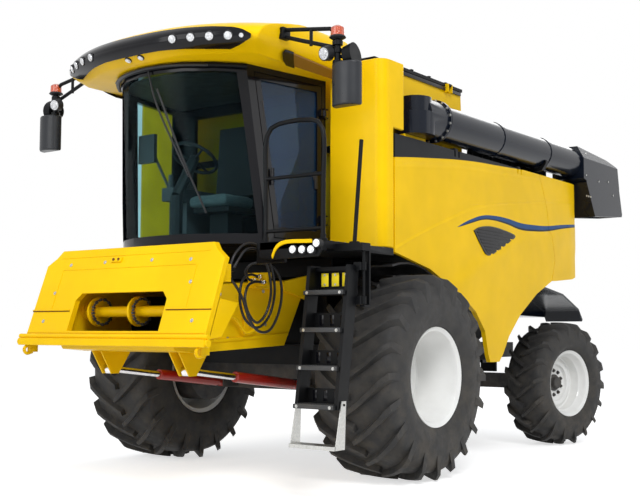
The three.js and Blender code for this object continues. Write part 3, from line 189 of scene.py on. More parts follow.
def tyreRubber():
    colour = (0.028, 0.028, 0.029)
    material, tree, shader, coords = startMaterial("tyreRubber", colour, 0.7)
    tone = ranged(tree, noise(tree, coords, 11.0, 6.0, 0.7), 0.35, 0.7)
    base = mixed(tree, tone, colour, (0.052, 0.05, 0.047))
    share = dustMask(tree, coords, 0.22, 7.0)
    tree.links.new(mixed(tree, share, base, dirt["colour"]), shader.inputs["Base Color"])
    rough = ranged(tree, noise(tree, coords, 22.0, 4.0), 0.3, 0.7, 0.52, 0.78)
    tree.links.new(rough, shader.inputs["Roughness"])
    shader.inputs["Specular IOR Level"].default_value = 0.25
    grain = maths(tree, "ADD", noise(tree, coords, 260.0, 3.0),
                  maths(tree, "MULTIPLY", noise(tree, coords, 26.0, 3.0), 1.6))
    bumped(tree, shader, grain, 0.35, 0.0022)
    return material


def metal(name, colour, roughness, scratch=60.0, dust=0.0):
    material, tree, shader, coords = startMaterial(name, colour, roughness, 1.0)
    tone = ranged(tree, noise(tree, coords, scratch, 5.0), 0.3, 0.7)
    base = mixed(tree, tone, tuple(c * 0.8 for c in colour), colour)
    if dust:
        base = mixed(tree, dustMask(tree, coords, dust), base, dirt["colour"])
    tree.links.new(base, shader.inputs["Base Color"])
    worn = ranged(tree, noise(tree, coords, scratch * 1.7, 4.0), 0.3, 0.7, roughness * 0.75, roughness * 1.3)
    tree.links.new(worn, shader.inputs["Roughness"])
    bumped(tree, shader, noise(tree, coords, scratch * 4, 2.0), 0.08, 0.0006)
    return material


def castMetal():
    material, tree, shader, coords = startMaterial("castMetal", (0.035, 0.036, 0.04), 0.62, 0.25)
    tone = ranged(tree, noise(tree, coords, 8.0, 6.0), 0.3, 0.7)
    base = mixed(tree, tone, (0.022, 0.022, 0.025), (0.06, 0.058, 0.056))
    tree.links.new(mixed(tree, dustMask(tree, coords, 0.5), base, dirt["colour"]), shader.inputs["Base Color"])
    bumped(tree, shader, noise(tree, coords, 150.0, 4.0), 0.4, 0.0025)
    return material


# Clear glass that colours what is behind it, with a reflecting skin.
def tintedGlass(name, tint, solidShare, skin=(0.004, 0.01, 0.014), roughness=0.03):
    material, tree, shader, coords = startMaterial(name, skin, roughness)
    shader.inputs["Specular IOR Level"].default_value = 0.35
    film = ranged(tree, noise(tree, coords, 5.0, 5.0), 0.35, 0.75, roughness, roughness + 0.05)
    tree.links.new(film, shader.inputs["Roughness"])
    clear = addNode(tree, "ShaderNodeBsdfTransparent")
    streaks = ranged(tree, noise(tree, coords, 2.2, 3.0), 0.35, 0.7)
    tree.links.new(mixed(tree, streaks, tuple(c * 0.9 for c in tint), tint), clear.inputs["Color"])
    mix = addNode(tree, "ShaderNodeMixShader")
    share = ranged(tree, noise(tree, coords, 1.3, 2.0), 0.3, 0.7, solidShare * 0.9, solidShare)
    tree.links.new(share, mix.inputs["Fac"])
    tree.links.new(clear.outputs["BSDF"], mix.inputs[1])
    tree.links.new(shader.outputs["BSDF"], mix.inputs[2])
    output = next(n for n in tree.nodes if n.type == "OUTPUT_MATERIAL")
    tree.links.new(mix.outputs["Shader"], output.inputs["Surface"])
    return material


def lensGlass(name, colour, scale=70.0, roughness=0.12, metallic=0.35):
    material, tree, shader, coords = startMaterial(name, colour, roughness, metallic)
    cells = addNode(tree, "ShaderNodeTexVoronoi")
    cells.inputs["Scale"].default_value = scale
    tree.links.new(coords, cells.inputs["Vector"])
    facets = ranged(tree, cells.outputs["Distance"], 0.0, 0.7)
    tree.links.new(mixed(tree, facets, colour, tuple(c * 0.55 for c in colour)), shader.inputs["Base Color"])
    shader.inputs["Coat Weight"].default_value = 1.0
    shader.inputs["Coat Roughness"].default_value = 0.02
    bumped(tree, shader, cells.outputs["Distance"], 0.5, 0.004)
    return material


def wovenCloth():
    colour = (0.075, 0.1, 0.105)
    material, tree, shader, coords = startMaterial("wovenCloth", colour, 0.88)
    checks = addNode(tree, "ShaderNodeTexWave", wave_type="BANDS", bands_direction="X")
    cross = addNode(tree, "ShaderNodeTexWave", wave_type="BANDS", bands_direction="Y")
    for wave in (checks, cross):
        wave.inputs["Scale"].default_value = 180.0
        tree.links.new(coords, wave.inputs["Vector"])
    weave = maths(tree, "MULTIPLY", checks.outputs["Fac"], cross.outputs["Fac"])
    tone = ranged(tree, noise(tree, coords, 14.0, 4.0), 0.3, 0.7)
    base = mixed(tree, tone, colour, (0.12, 0.15, 0.15))
    tree.links.new(mixed(tree, maths(tree, "MULTIPLY", weave, 0.4), base, (0.2, 0.23, 0.23)),
                   shader.inputs["Base Color"])
    shader.inputs["Sheen Weight"].default_value = 0.3
    bumped(tree, shader, weave, 0.4, 0.001)
    return material


# Each line is a row of places: y from the front axle, then the height.
stripe = {
    "blue": (0.008, 0.06, 0.2),
    "edge": (0.01, 0.014, 0.022),
    # here the third number is half the stripe's width
    "line": [(0.79, 2.27, 0.001), (1.06, 2.35, 0.019), (1.3, 2.405, 0.022), (1.47, 2.42, 0.023),
             (1.8, 2.416, 0.03), (2.15, 2.388, 0.036), (2.45, 2.395, 0.034), (2.77, 2.415, 0.03),
             (3.2, 2.47, 0.023), (3.7, 2.525, 0.016)],
    "cap": [(-0.31, 2.79), (0.3, 2.863), (1.06, 2.937), (1.7, 2.971), (2.65, 3.02)],
    "ridge": [(0.3, 1.5), (1.2, 1.962), (1.5, 2.035), (1.75, 2.15), (1.95, 2.225), (2.3, 2.29), (2.77, 2.346),
              (3.65, 2.425), (4.2, 2.45)],
    "shoulder": [(-0.31, 2.0), (0.56, 2.31), (1.26, 2.51), (2.15, 2.64), (2.78, 2.71), (3.7, 2.79),
                 (4.2, 2.8)],
}


# Turns a line of the table into a value that changes along y.
def heightAlong(tree, split, line, column, low, high):
    start, end = line[0][0], line[-1][0]
    along = ranged(tree, split.outputs["Y"], axleY + start, axleY + end)
    curve = addNode(tree, "ShaderNodeFloatCurve")
    points = curve.mapping.curves[0].points
    while len(points) < len(line):
        points.new(0.5, 0.5)
    for point, row in zip(points, line):
        point.location = ((row[0] - start) / (end - start), (row[column] - low) / (high - low))
    curve.mapping.update()
    tree.links.new(along, curve.inputs["Value"])
    return ranged(tree, curve.outputs["Value"], 0.0, 1.0, low, high)


# A fold along a line: the skin steps by the depth over the width, and rise takes a share of the step back.
def pressed(tree, shader, split, line, width, depth, rise):
    off = maths(tree, "SUBTRACT", split.outputs["Z"], heightAlong(tree, split, line, 1, 1.0, 3.2))
    step = ranged(tree, off, -width, width)
    smooth = addNode(tree, "ShaderNodeMapRange", interpolation_type="SMOOTHERSTEP")
    tree.links.new(off, smooth.inputs["Value"])
    smooth.inputs["From Min"].default_value = -width
    smooth.inputs["From Max"].default_value = width
    height = maths(tree, "SUBTRACT", smooth.outputs["Result"], maths(tree, "MULTIPLY", step, rise))
    before = shader.inputs["Normal"].links[0].from_socket
    node = bumped(tree, shader, height, 1.0, depth)
    tree.links.new(before, node.inputs["Normal"])


def paintParts(name, colour):
    material = paint(name, colour, 0.34, 0.04, 0.08, specular=0.1)
    tree = material.node_tree
    shader = tree.nodes["Principled BSDF"]
    coords = next(n for n in tree.nodes if n.type == "TEX_COORD").outputs["Object"]
    return material, tree, shader, splitCoords(tree, coords)


def stripedPaint(name, colour):
    material, tree, shader, split = paintParts(name, colour)
    below = shader.inputs["Base Color"].links[0].from_socket
    line = stripe["line"]
    middle = heightAlong(tree, split, line, 1, 2.0, 3.0)
    half = heightAlong(tree, split, line, 2, 0.0, 0.1)
    off = maths(tree, "SUBTRACT", split.outputs["Z"], middle)
    inLength = maths(tree, "MULTIPLY",
                     maths(tree, "GREATER_THAN", split.outputs["Y"], axleY + line[0][0]),
                     maths(tree, "LESS_THAN", split.outputs["Y"], axleY + line[-1][0]))
    core = maths(tree, "MULTIPLY", maths(tree, "LESS_THAN", maths(tree, "ABSOLUTE", off, 0.0), half), inLength)
    under = maths(tree, "ADD", off, maths(tree, "MULTIPLY", half, 0.45))
    low = maths(tree, "MULTIPLY", maths(tree, "LESS_THAN", under, 0.0), core)
    edged = mixed(tree, core, below, stripe["blue"])
    tree.links.new(mixed(tree, low, edged, stripe["edge"]), shader.inputs["Base Color"])
    pressed(tree, shader, split, stripe["shoulder"], 0.03, -0.015, 0.6)
    return material


# Yellow up to the cap line and black over it, where the trough of the auger lies.
def cappedPaint(name, colour):
    material, tree, shader, split = paintParts(name, colour)
    below = shader.inputs["Base Color"].links[0].from_socket
    over = maths(tree, "SUBTRACT", split.outputs["Z"], heightAlong(tree, split, stripe["cap"], 1, 2.0, 3.2))
    dark = maths(tree, "GREATER_THAN", over, 0.0)
    tree.links.new(mixed(tree, dark, below, (0.01, 0.011, 0.013)), shader.inputs["Base Color"])
    pressed(tree, shader, split, [(y, z - 0.05) for y, z in stripe["cap"]], 0.05, -0.03, 0.4)
    return material


yellow = (0.95, 0.59, 0.002)
looks = {
    "yellow": paint("yellowPaint", yellow, 0.34, 0.04, 0.08, specular=0.1),
    "striped": stripedPaint("yellowStriped", yellow),
    "capped": cappedPaint("yellowCapped", yellow),
    "black": paint("blackPaint", (0.005, 0.0055, 0.0065), 0.42, 0.02, 0.04, 0.8, 0.05, 0.0, 0.12),
    "navy": paint("navyPaint", (0.004, 0.007, 0.015), 0.2, 0.12, 0.03, 0.8, 0.05, 0.0, 0.2),
    "gloss": paint("glossBlack", (0.005, 0.005, 0.007), 0.14, 0.15, 0.0, 0.8, 0.05, 0.0, 0.15),
    "shell": plastic("shellGrey", (0.03, 0.032, 0.036), 0.34, 300.0, 0.1),
    "cream": paint("rimPaint", (0.88, 0.88, 0.86), 0.32, 0.4, 0.1, 0.95),
    "red": paint("redPaint", (0.42, 0.02, 0.012), 0.35, 0.5, 0.3),
    "darkPlastic": plastic("darkPlastic", (0.022, 0.022, 0.024)),
    "greyPlastic": plastic("greyPlastic", (0.12, 0.12, 0.125), 0.5),
    "scuffed": paint("scuffedBlack", (0.05, 0.052, 0.055), 0.45, 0.1, 0.35, 0.6),
    "wornEdge": paint("wornEdge", (0.2, 0.06, 0.01), 0.6, 0.0, 0.3, 0.6),
    "rubber": plastic("hoseRubber", (0.018, 0.018, 0.02), 0.33, 300.0, 0.12),
    "tyre": tyreRubber(),
    "steel": metal("zincSteel", (0.55, 0.55, 0.53), 0.34),
    "chrome": metal("chromePlate", (0.82, 0.82, 0.84), 0.08, 30.0),
    "iron": castMetal(),
    "bronze": paint("bronzeMesh", (0.24, 0.11, 0.01), 0.5, 0.1, 0.0),
    "glass": tintedGlass("cabGlass", (0.8, 0.94, 0.96), 0.07),
    "doorTint": tintedGlass("doorGlassTint", (0.4, 0.55, 0.7), 0.55, (0.008, 0.04, 0.1)),
    "lens": lensGlass("lampLens", (0.92, 0.93, 0.95)),
    "amber": lensGlass("beaconLens", (0.75, 0.09, 0.012), 90.0, 0.15, 0.0),
    "redLens": lensGlass("tailLens", (0.5, 0.01, 0.01), 90.0, 0.15, 0.0),
    "mirror": metal("mirrorGlass", (0.75, 0.77, 0.8), 0.03, 4.0),
    "cloth": wovenCloth(),
    "plate": paint("blankPlate", (0.92, 0.72, 0.02), 0.5, 0.0, 0.1),
}
print("materials made")

# Making pieces


def meshFrom(bm, name):
    mesh = bpy.data.meshes.new(name)
    bm.to_mesh(mesh)
    bm.free()
    return mesh


def smoothed(mesh, degrees):
    bm = bmesh.new()
    bm.from_mesh(mesh)
    for face in bm.faces:
        face.smooth = True
    for edge in bm.edges:
        edge.smooth = edge.calc_face_angle(math.pi) < math.radians(degrees)
    bm.to_mesh(mesh)
    bm.free()


def addBevel(piece, width, segments=2, degrees=32):
    bevel = piece.modifiers.new("rounded", "BEVEL")
    bevel.width = width
    bevel.segments = segments
    bevel.limit_method = "ANGLE"
    bevel.angle_limit = math.radians(degrees)
    bevel.harden_normals = True
    bevel.use_clamp_overlap = True


def makePiece(name, bm, look, body, replaced=(), bevel=0.0, degrees=32, matrix=None):
    bmesh.ops.transform(bm, matrix=matrix or Matrix.Translation((0, axleY, 0)), verts=bm.verts)
    if matrix and matrix.determinant() < 0:
        bmesh.ops.reverse_faces(bm, faces=bm.faces)
    return finishPiece(name, meshFrom(bm, name), look, body, replaced, bevel, degrees)


def finishPiece(name, mesh, look, body, replaced=(), bevel=0.0, degrees=32):
    smoothed(mesh, degrees)
    mesh.materials.clear()
    mesh.materials.append(looks[look])
    piece = bpy.data.objects.new(name, mesh)
    bpy.context.scene.collection.objects.link(piece)
    if bevel:
        addBevel(piece, bevel, degrees=degrees)
    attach(piece, body)
    if replaced:
        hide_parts(*replaced)
    return piece


# Copies a CAD node's shape, merges it and rounds its edges.
def softened(node, look, bevel=0.006, degrees=32, shape=None):
    source = frame["nodes"][node]
    bm = bmesh.new()
    bm.from_mesh(source.data)
    bmesh.ops.remove_doubles(bm, verts=bm.verts, dist=2e-5)
    bmesh.ops.dissolve_limit(bm, angle_limit=math.radians(0.6), verts=bm.verts, edges=bm.edges)
    if shape:
        shape(bm)
    name = node + "_finished"
    return finishPiece(name, meshFrom(bm, name), look, source["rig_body"], (node,), bevel, degrees)


# The faces or edges at some vertices, each once and in the same order on every run.
def linked(verts, kind):
    return list(dict.fromkeys(part for v in verts for part in getattr(v, kind)))


def roundOff(bm, verts, width):
    edges = linked(verts, "link_edges")
    bmesh.ops.bevel(bm, geom=edges, offset=width, segments=2, profile=0.5, affect="EDGES", material=-1)


def addBlock(bm, low, high, bevel=0.0):
    low, high = Vector(low), Vector(high)
    size = high - low
    matrix = Matrix.Translation((low + high) / 2) @ Matrix.Diagonal((*size, 1))
    made = bmesh.ops.create_cube(bm, size=1.0, matrix=matrix)
    if bevel:
        roundOff(bm, made["verts"], bevel)


def addRod(bm, start, end, radius, sides=16, endRadius=None):
    start, end = Vector(start), Vector(end)
    along = end - start
    turn = along.to_track_quat("Z", "Y").to_matrix().to_4x4()
    matrix = Matrix.Translation((start + end) / 2) @ turn
    bmesh.ops.create_cone(bm, cap_ends=True, segments=sides, radius1=radius,
                          radius2=radius if endRadius is None else endRadius,
                          depth=along.length, matrix=matrix)


# An outline of two coordinates, pushed along the third from start to end.
def addPlate(bm, outline, plane, start, end):
    order = {"x": lambda u, v, w: (w, u, v),
             "y": lambda u, v, w: (u, w, v),
             "z": lambda u, v, w: (u, v, w)}[plane]
    verts = [bm.verts.new(order(u, v, start)) for u, v in outline]
    face = bm.faces.new(verts)
    pushed = bmesh.ops.extrude_face_region(bm, geom=[face])
    moved = [g for g in pushed["geom"] if isinstance(g, bmesh.types.BMVert)]
    bmesh.ops.translate(bm, vec=Vector(order(0, 0, end - start)), verts=moved)
    faces = linked(verts + moved, "link_faces")
    bmesh.ops.recalc_face_normals(bm, faces=faces)


def addBolt(bm, place, axis, radius=0.011, height=0.009):
    place, axis = Vector(place), Vector(axis).normalized()
    addRod(bm, place - axis * 0.002, place + axis * height, radius, 6)
    addRod(bm, place - axis * 0.002, place + axis * height * 0.25, radius * 1.6, 14)


# Spins a profile of (radius, x) points round the x axis.
def addTurned(bm, profile, steps):
    verts = [bm.verts.new((x, 0, r)) for r, x in profile]
    edges = [bm.edges.new(pair) for pair in zip(verts, verts[1:])]
    bmesh.ops.spin(bm, geom=verts + edges, cent=(0, 0, 0), axis=(1, 0, 0), angle=2 * math.pi,
                   steps=steps, use_merge=True)


# A smooth route through the points.
def routed(points, perSpan=6):
    points = [Vector(p) for p in points]
    padded = [points[0] * 2 - points[1], *points, points[-1] * 2 - points[-2]]
    route = []
    for a, b, c, d in zip(padded, padded[1:], padded[2:], padded[3:]):
        knots = [0.0]
        for first, second in ((a, b), (b, c), (c, d)):
            knots.append(knots[-1] + max((second - first).length ** 0.5, 1e-6))
        for i in range(perSpan):
            t = knots[1] + (knots[2] - knots[1]) * i / perSpan
            near = [(knots[k + 1] - t) / (knots[k + 1] - knots[k]) for k in range(3)]
            first = [p * w + q * (1 - w) for p, q, w in zip((a, b, c), (b, c, d), near)]
            wide = [(knots[k + 2] - t) / (knots[k + 2] - knots[k]) for k in range(2)]
            second = [p * w + q * (1 - w) for p, q, w in zip(first, first[1:], wide)]
            route.append(second[0] * near[1] + second[1] * (1 - near[1]))
    return route + [points[-1]]


# Round tubes along routes, given in metres from the front axle.
def makeTube(name, routes, radius, look, body, replaced=(), perSpan=6, sides=6):
    curve = bpy.data.curves.new(name, "CURVE")
    curve.dimensions = "3D"
    curve.bevel_depth = radius
    curve.bevel_resolution = sides
    curve.use_fill_caps = True
    for points in routes:
        path = routed(points, perSpan) if perSpan else [Vector(p) for p in points]
        spline = curve.splines.new("POLY")
        spline.points.add(len(path) - 1)
        for point, place in zip(spline.points, path):
            point.co = (place.x, place.y + axleY, place.z, 1)
        spline.use_smooth = True
    piece = bpy.data.objects.new(name, curve)
    bpy.context.scene.collection.objects.link(piece)
    bpy.context.view_layer.update()
    mesh = bpy.data.meshes.new_from_object(piece.evaluated_get(bpy.context.evaluated_depsgraph_get()))
    bpy.data.objects.remove(piece)
    mesh.name = name
    return finishPiece(name, mesh, look, body, replaced, 0.0, 50)


# Camera, light and floor

# The place is measured from the front axle.
view = {"place": (6.329, -7.937, 1.277), "azimuth": 36.42, "pitch": 4.354, "roll": 0.18, "lens": 59.08}


def setCamera():
    data = bpy.data.cameras.new("camera")
    data.lens = view["lens"]
    data.sensor_width = 36
    data.clip_end = 200
    camera = bpy.data.objects.new("camera", data)
    az, el = math.radians(view["azimuth"]), math.radians(view["pitch"])
    ahead = Vector((-math.sin(az) * math.cos(el), math.cos(az) * math.cos(el), math.sin(el)))
    camera.rotation_mode = "QUATERNION"
    turn = ahead.to_track_quat("-Z", "Y")
    camera.rotation_quaternion = turn @ Matrix.Rotation(math.radians(view["roll"]), 3, "Z").to_quaternion()
    x, y, z = view["place"]
    camera.location = (x, y + axleY, z)
    bpy.context.scene.collection.objects.link(camera)
    bpy.context.scene.camera = camera


def addLamp(name, place, aim, size, power):
    data = bpy.data.lights.new(name, "AREA")
    data.shape = "SQUARE"
    data.size = size
    data.energy = power
    lamp = bpy.data.objects.new(name, data)
    lamp.location = place
    lamp.rotation_mode = "QUATERNION"
    lamp.rotation_quaternion = (Vector(aim) - Vector(place)).to_track_quat("-Z", "Y")
    bpy.context.scene.collection.objects.link(lamp)


stage = {
    "world": 0.5, "floorColour": 0.82, "floorGlow": 0.62, "floorHalf": 60,
    # name, place, aim, size and power
    "lamps": [("keyLamp", (9, -9, 11), (0, -0.5, 1.6), 5, 1150),
              ("fillLamp", (-1, -13, 6), (0, -1, 1.6), 7, 420),
              ("sideLamp", (12, 4, 5), (1, 0.5, 1.6), 6, 110),
              ("backLamp", (-3, 12, 9), (0, 1, 2.0), 7, 330)],
}


# 1 where the background is seen, also in a reflection or through glass.
def seenShare(tree):
    path = addNode(tree, "ShaderNodeLightPath")
    return maths(tree, "MAXIMUM", path.outputs["Is Camera Ray"],
                 maths(tree, "MAXIMUM", path.outputs["Is Glossy Ray"], path.outputs["Is Transmission Ray"]))


def setStage():
    scene = bpy.context.scene
    scene.view_settings.view_transform = "Standard"
    world = bpy.data.worlds.new("studio")
    world.use_nodes = True
    scene.world = world
    tree = world.node_tree
    tree.nodes.clear()
    output = addNode(tree, "ShaderNodeOutputWorld")
    soft = addNode(tree, "ShaderNodeBackground")
    soft.inputs["Color"].default_value = (0.93, 0.96, 1.0, 1)
    white = addNode(tree, "ShaderNodeBackground")
    white.inputs["Color"].default_value = (1, 1, 1, 1)
    white.inputs["Strength"].default_value = 1.0
    mix = addNode(tree, "ShaderNodeMixShader")
    soft.inputs["Strength"].default_value = stage["world"]
    tree.links.new(seenShare(tree), mix.inputs["Fac"])
    tree.links.new(soft.outputs["Background"], mix.inputs[1])
    tree.links.new(white.outputs["Background"], mix.inputs[2])
    tree.links.new(mix.outputs["Shader"], output.inputs["Surface"])

    bm = bmesh.new()
    bmesh.ops.create_grid(bm, x_segments=1, y_segments=1, size=stage["floorHalf"])
    mesh = meshFrom(bm, "floor")
    floor = bpy.data.objects.new("floor", mesh)
    scene.collection.objects.link(floor)
    material = bpy.data.materials.new("paleFloor")
    material.use_nodes = True
    tree = material.node_tree
    tree.nodes.clear()
    output = addNode(tree, "ShaderNodeOutputMaterial")
    diffuse = addNode(tree, "ShaderNodeBsdfDiffuse")
    diffuse.inputs["Color"].default_value = (*[stage["floorColour"]] * 3, 1)
    glow = addNode(tree, "ShaderNodeEmission")
    tree.links.new(maths(tree, "MULTIPLY", seenShare(tree), stage["floorGlow"]), glow.inputs["Strength"])
    both = addNode(tree, "ShaderNodeAddShader")
    tree.links.new(diffuse.outputs["BSDF"], both.inputs[0])
    tree.links.new(glow.outputs["Emission"], both.inputs[1])
    tree.links.new(both.outputs["Shader"], output.inputs["Surface"])
    mesh.materials.append(material)

    for name, place, aim, size, power in stage["lamps"]:
        addLamp(name, place, aim, size, power)


setCamera()
setStage()
print("camera and stage set")

# Wheels

wheels = {
    "front": {"radius": 0.893, "half": 0.4, "seat": 0.406, "crown": 0.84, "lugs": 20, "lugWidth": 0.062,
              "flange": 0.432, "disc": -0.082, "bolts": 12, "boltCircle": 0.17, "hub": 0.115},
    "rear": {"radius": 0.699, "half": 0.245, "seat": 0.35, "crown": 0.655, "lugs": 18, "lugWidth": 0.046,
             "flange": 0.375, "disc": -0.03, "bolts": 10, "boltCircle": 0.14, "hub": 0.095},
}


# Height of the carcass under the lugs, falling towards the shoulders.
def crownAt(size, x):
    share = min(abs(x) / size["half"], 1.0)
    return size["crown"] - 0.03 * share ** 2 - 0.055 * max(share - 0.8, 0) * 5


def addCarcass(bm, size):
    half, seat, crown = size["half"], size["seat"], size["crown"]
    side = crown - seat
    outer = [(seat + 0.0005, half - 0.055), (seat + 0.03, half - 0.045), (seat + 0.036, half - 0.032),
             (seat + 0.12 * side + 0.03, half - 0.016), (seat + 0.3 * side, half - 0.002),
             (seat + 0.45 * side, half), (seat + 0.6 * side, half - 0.004), (seat + 0.76 * side, half - 0.016)]
    across = [0.93, 0.82, 0.6, 0.35, 0.1]
    tread = [(crownAt(size, s * half), s * half) for s in across]
    right = outer + tread
    profile = right + [(r, -x) for r, x in reversed(right)]
    addTurned(bm, profile + [profile[0]], 72)


# A lug bent round the carcass, on the side of the tyre that direction gives.
def lugMesh(size, direction):
    half = size["half"]
    bm = bmesh.new()
    bmesh.ops.create_cube(bm, size=1.0)
    long = [e for e in bm.edges if abs((e.verts[0].co - e.verts[1].co).x) > 0.5]
    bmesh.ops.subdivide_edges(bm, edges=long, cuts=6, use_grid_fill=True)
    for v in bm.verts:
        s, side, top = v.co.x + 0.5, v.co.y * 2, v.co.z > 0
        x = -0.03 + s * (half + 0.028)
        lag = 0.6 * x + 0.2 * x * x / half
        width = size["lugWidth"] * (1.0 + 0.3 * s) * (0.72 if top else 1.2)
        radius = size["radius"] - 0.014 * (x / half) ** 2 if top else crownAt(size, x) - 0.03
        if s > 0.97:
            radius = size["radius"] - 0.06 if top else crownAt(size, half) - 0.09
        angle = -(lag - side * width * 0.5) / size["radius"]
        v.co = Vector((direction * x, -radius * math.sin(angle), radius * math.cos(angle)))
    if direction < 0:
        bmesh.ops.reverse_faces(bm, faces=bm.faces)
    return meshFrom(bm, "lug")


def makeTyre(kind, sideName, matrix, node):
    size = wheels[kind]
    bm = bmesh.new()
    addCarcass(bm, size)
    bmesh.ops.recalc_face_normals(bm, faces=bm.faces)
    pitch = 2 * math.pi / size["lugs"]
    for direction in (1, -1):
        lug = lugMesh(size, direction)
        lug.transform(Matrix.Rotation(pitch / 2 * (direction < 0), 4, "X"))
        for _ in range(size["lugs"]):
            bm.from_mesh(lug)
            lug.transform(Matrix.Rotation(pitch, 4, "X"))
        bpy.data.meshes.remove(lug)
    return makePiece(f"{kind}_tyre_tread_{sideName}", bm, "tyre", f"{kind}_wheel_{sideName}",
                     (node,), 0.004, 40, matrix)


def makeRim(kind, sideName, outward, matrix, node):
    size = wheels[kind]
    half, seat, flange, disc = size["half"], size["seat"], size["flange"], size["disc"]
    lip = half - 0.037
    bm = bmesh.new()
    profile = [
        (0.0, disc + 0.008), (size["boltCircle"] + 0.045, disc + 0.008),
        (size["boltCircle"] + 0.06, disc + 0.012),
        (seat - 0.14, disc + 0.045), (seat - 0.1, disc + 0.05), (seat - 0.058, disc + 0.03),
        (seat - 0.046, disc + 0.036), (seat - 0.045, half * 0.45), (seat - 0.03, half * 0.52),
        (seat - 0.022, lip - 0.05), (seat - 0.006, lip - 0.02), (flange - 0.006, lip - 0.006),
        (flange, lip), (flange + 0.002, lip - 0.006),
        (flange - 0.002, lip - 0.018), (seat - 0.002, lip - 0.024),
        (seat - 0.002, -lip + 0.024), (flange - 0.002, -lip + 0.018), (flange, -lip),
        (flange - 0.006, -lip + 0.004), (seat - 0.012, -lip + 0.016), (seat - 0.045, -half * 0.5),
        (seat - 0.046, disc - 0.012), (seat - 0.1, disc + 0.026), (size["boltCircle"] + 0.05, disc - 0.008),
        (0.0, disc - 0.008),
    ]
    addTurned(bm, profile, 64)
    bmesh.ops.remove_doubles(bm, verts=bm.verts, dist=1e-5)
    bmesh.ops.recalc_face_normals(bm, faces=bm.faces)
    flip = Matrix.Diagonal((outward, 1, 1, 1))
    makePiece(f"{kind}_rim_dish_{sideName}", bm, "cream", f"{kind}_wheel_{sideName}",
              (node,), 0.0, 28, matrix @ flip)
    bm = bmesh.new()
    hub = size["hub"]
    addTurned(bm, [(0.0, disc + 0.075), (hub * 0.62, disc + 0.075), (hub * 0.7, disc + 0.068),
                   (hub * 0.72, disc + 0.03), (hub, disc + 0.024), (hub, disc + 0.004),
                   (0.0, disc + 0.004)], 40)
    bmesh.ops.remove_doubles(bm, verts=bm.verts, dist=1e-5)
    bmesh.ops.recalc_face_normals(bm, faces=bm.faces)
    for i in range(size["bolts"]):
        turn = 2 * math.pi * (i + 0.5) / size["bolts"]
        y, z = math.cos(turn) * size["boltCircle"], math.sin(turn) * size["boltCircle"]
        addBolt(bm, (disc + 0.009, y, z), (1, 0, 0), 0.014, 0.022)
    makePiece(f"{kind}_hub_{sideName}", bm, "iron", f"{kind}_wheel_{sideName}",
              degrees=35, matrix=matrix @ flip)


def makeWheels():
    for sideName, out in sides:
        for kind in ("front", "rear"):
            joint = jointOf(f"{kind}_wheel_spin_{sideName}")
            low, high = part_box(f"{kind}_tyre_{sideName}")
            turn = 0.0
            if kind == "rear":
                turn = math.atan2(joint["axis"][1], joint["axis"][0])
            centre = Vector(((low.x + high.x) / 2, (low.y + high.y) / 2, joint["pos_m"][2]))
            matrix = Matrix.Translation(centre) @ Matrix.Rotation(turn, 4, "Z")
            makeTyre(kind, sideName, matrix, f"{kind}_tyre_{sideName}")
            makeRim(kind, sideName, out, matrix, f"{kind}_rim_{sideName}")


makeWheels()
print("wheels made")


# The numbers of a table's row at a given first value, eased between rows.
def eased(rows, at, smooth=True):
    i = max([k for k in range(len(rows) - 1) if rows[k][0] <= at], default=0)
    a, b = rows[i], rows[i + 1]
    span = b[0] - a[0]
    t = min(max((at - a[0]) / span, 0.0), 1.0)
    if not smooth:
        return [p + (q - p) * t for p, q in zip(a, b)]
    before, after = rows[max(i - 1, 0)], rows[min(i + 2, len(rows) - 1)]
    values = []
    for w, p, q, z in zip(before, a, b, after):
        start = (q - w) / (b[0] - before[0]) * span
        end = (z - p) / (after[0] - a[0]) * span
        cube, square = t ** 3, t ** 2
        values.append((2 * cube - 3 * square + 1) * p + (cube - 2 * square + t) * start
                      + (3 * square - 2 * cube) * q + (cube - square) * end)
    return values


# CAD panels and castings, rounded

panels = [
    # node, or the common part of a left and a right node's name; look, record slot, edge radius
    ("chassis_frame", "black", "black", 0.006), ("front_axle", "iron", "iron", 0.006),
    ("rear_axle", "iron", "iron", 0.008), ("threshing_housing", "black", "yellow", 0.012),
    ("body_frame", "black", "yellow", 0.004), ("engine_block", "iron", "iron", 0.02),
    ("engine_hood", "navy", "black", 0.02), ("straw_chopper", "navy", "navy", 0.012),
    ("front_fender", "darkPlastic", "plastic", 0.006), ("side_panel_upper", "capped", "yellow", 0.008),
    ("side_panel_lower", "striped", "yellow", 0.01), ("rear_hood", "striped", "yellow", 0.016),
    ("front_column", "yellow", "yellow", 0.012), ("grain_tank", "yellow", "yellow", 0.008),
    ("tank_extension", "yellow", "yellow", 0.008), ("tank_cover", "black", "black", 0.006),
    ("auger_tube", "navy", "navy", 0.006), ("auger_spout", "navy", "navy", 0.03),
    ("cab_body", "gloss", "black", 0.006), ("cab_door", "gloss", "black", 0.005),
    ("platform", "black", "black", 0.004), ("ladder", "black", "black", 0.003),
    ("ladder_step", "steel", "steel", 0.003), ("steering_wheel", "darkPlastic", "plastic", 0.0),
    ("seat_frame", "darkPlastic", "black", 0.02), ("steering_column", "darkPlastic", "plastic", 0.006),
    ("arm_console", "greyPlastic", "plastic", 0.012), ("feeder_house", "yellow", "yellow", 0.006),
    ("feeder_face", "yellow", "yellow", 0.006), ("feeder_drum", "yellow", "yellow", 0.004),
    ("lift_barrel", "red", "red", 0.004), ("lift_rod", "chrome", "steel", 0.002),
    ("rear_knuckle", "iron", "iron", 0.006),
]
# Degrees up to which a corner is shaded smooth, where it isn't the usual 32.
smoothTo = {"platform": 55, "ladder": 40, "ladder_step": 40, "steering_wheel": 70}

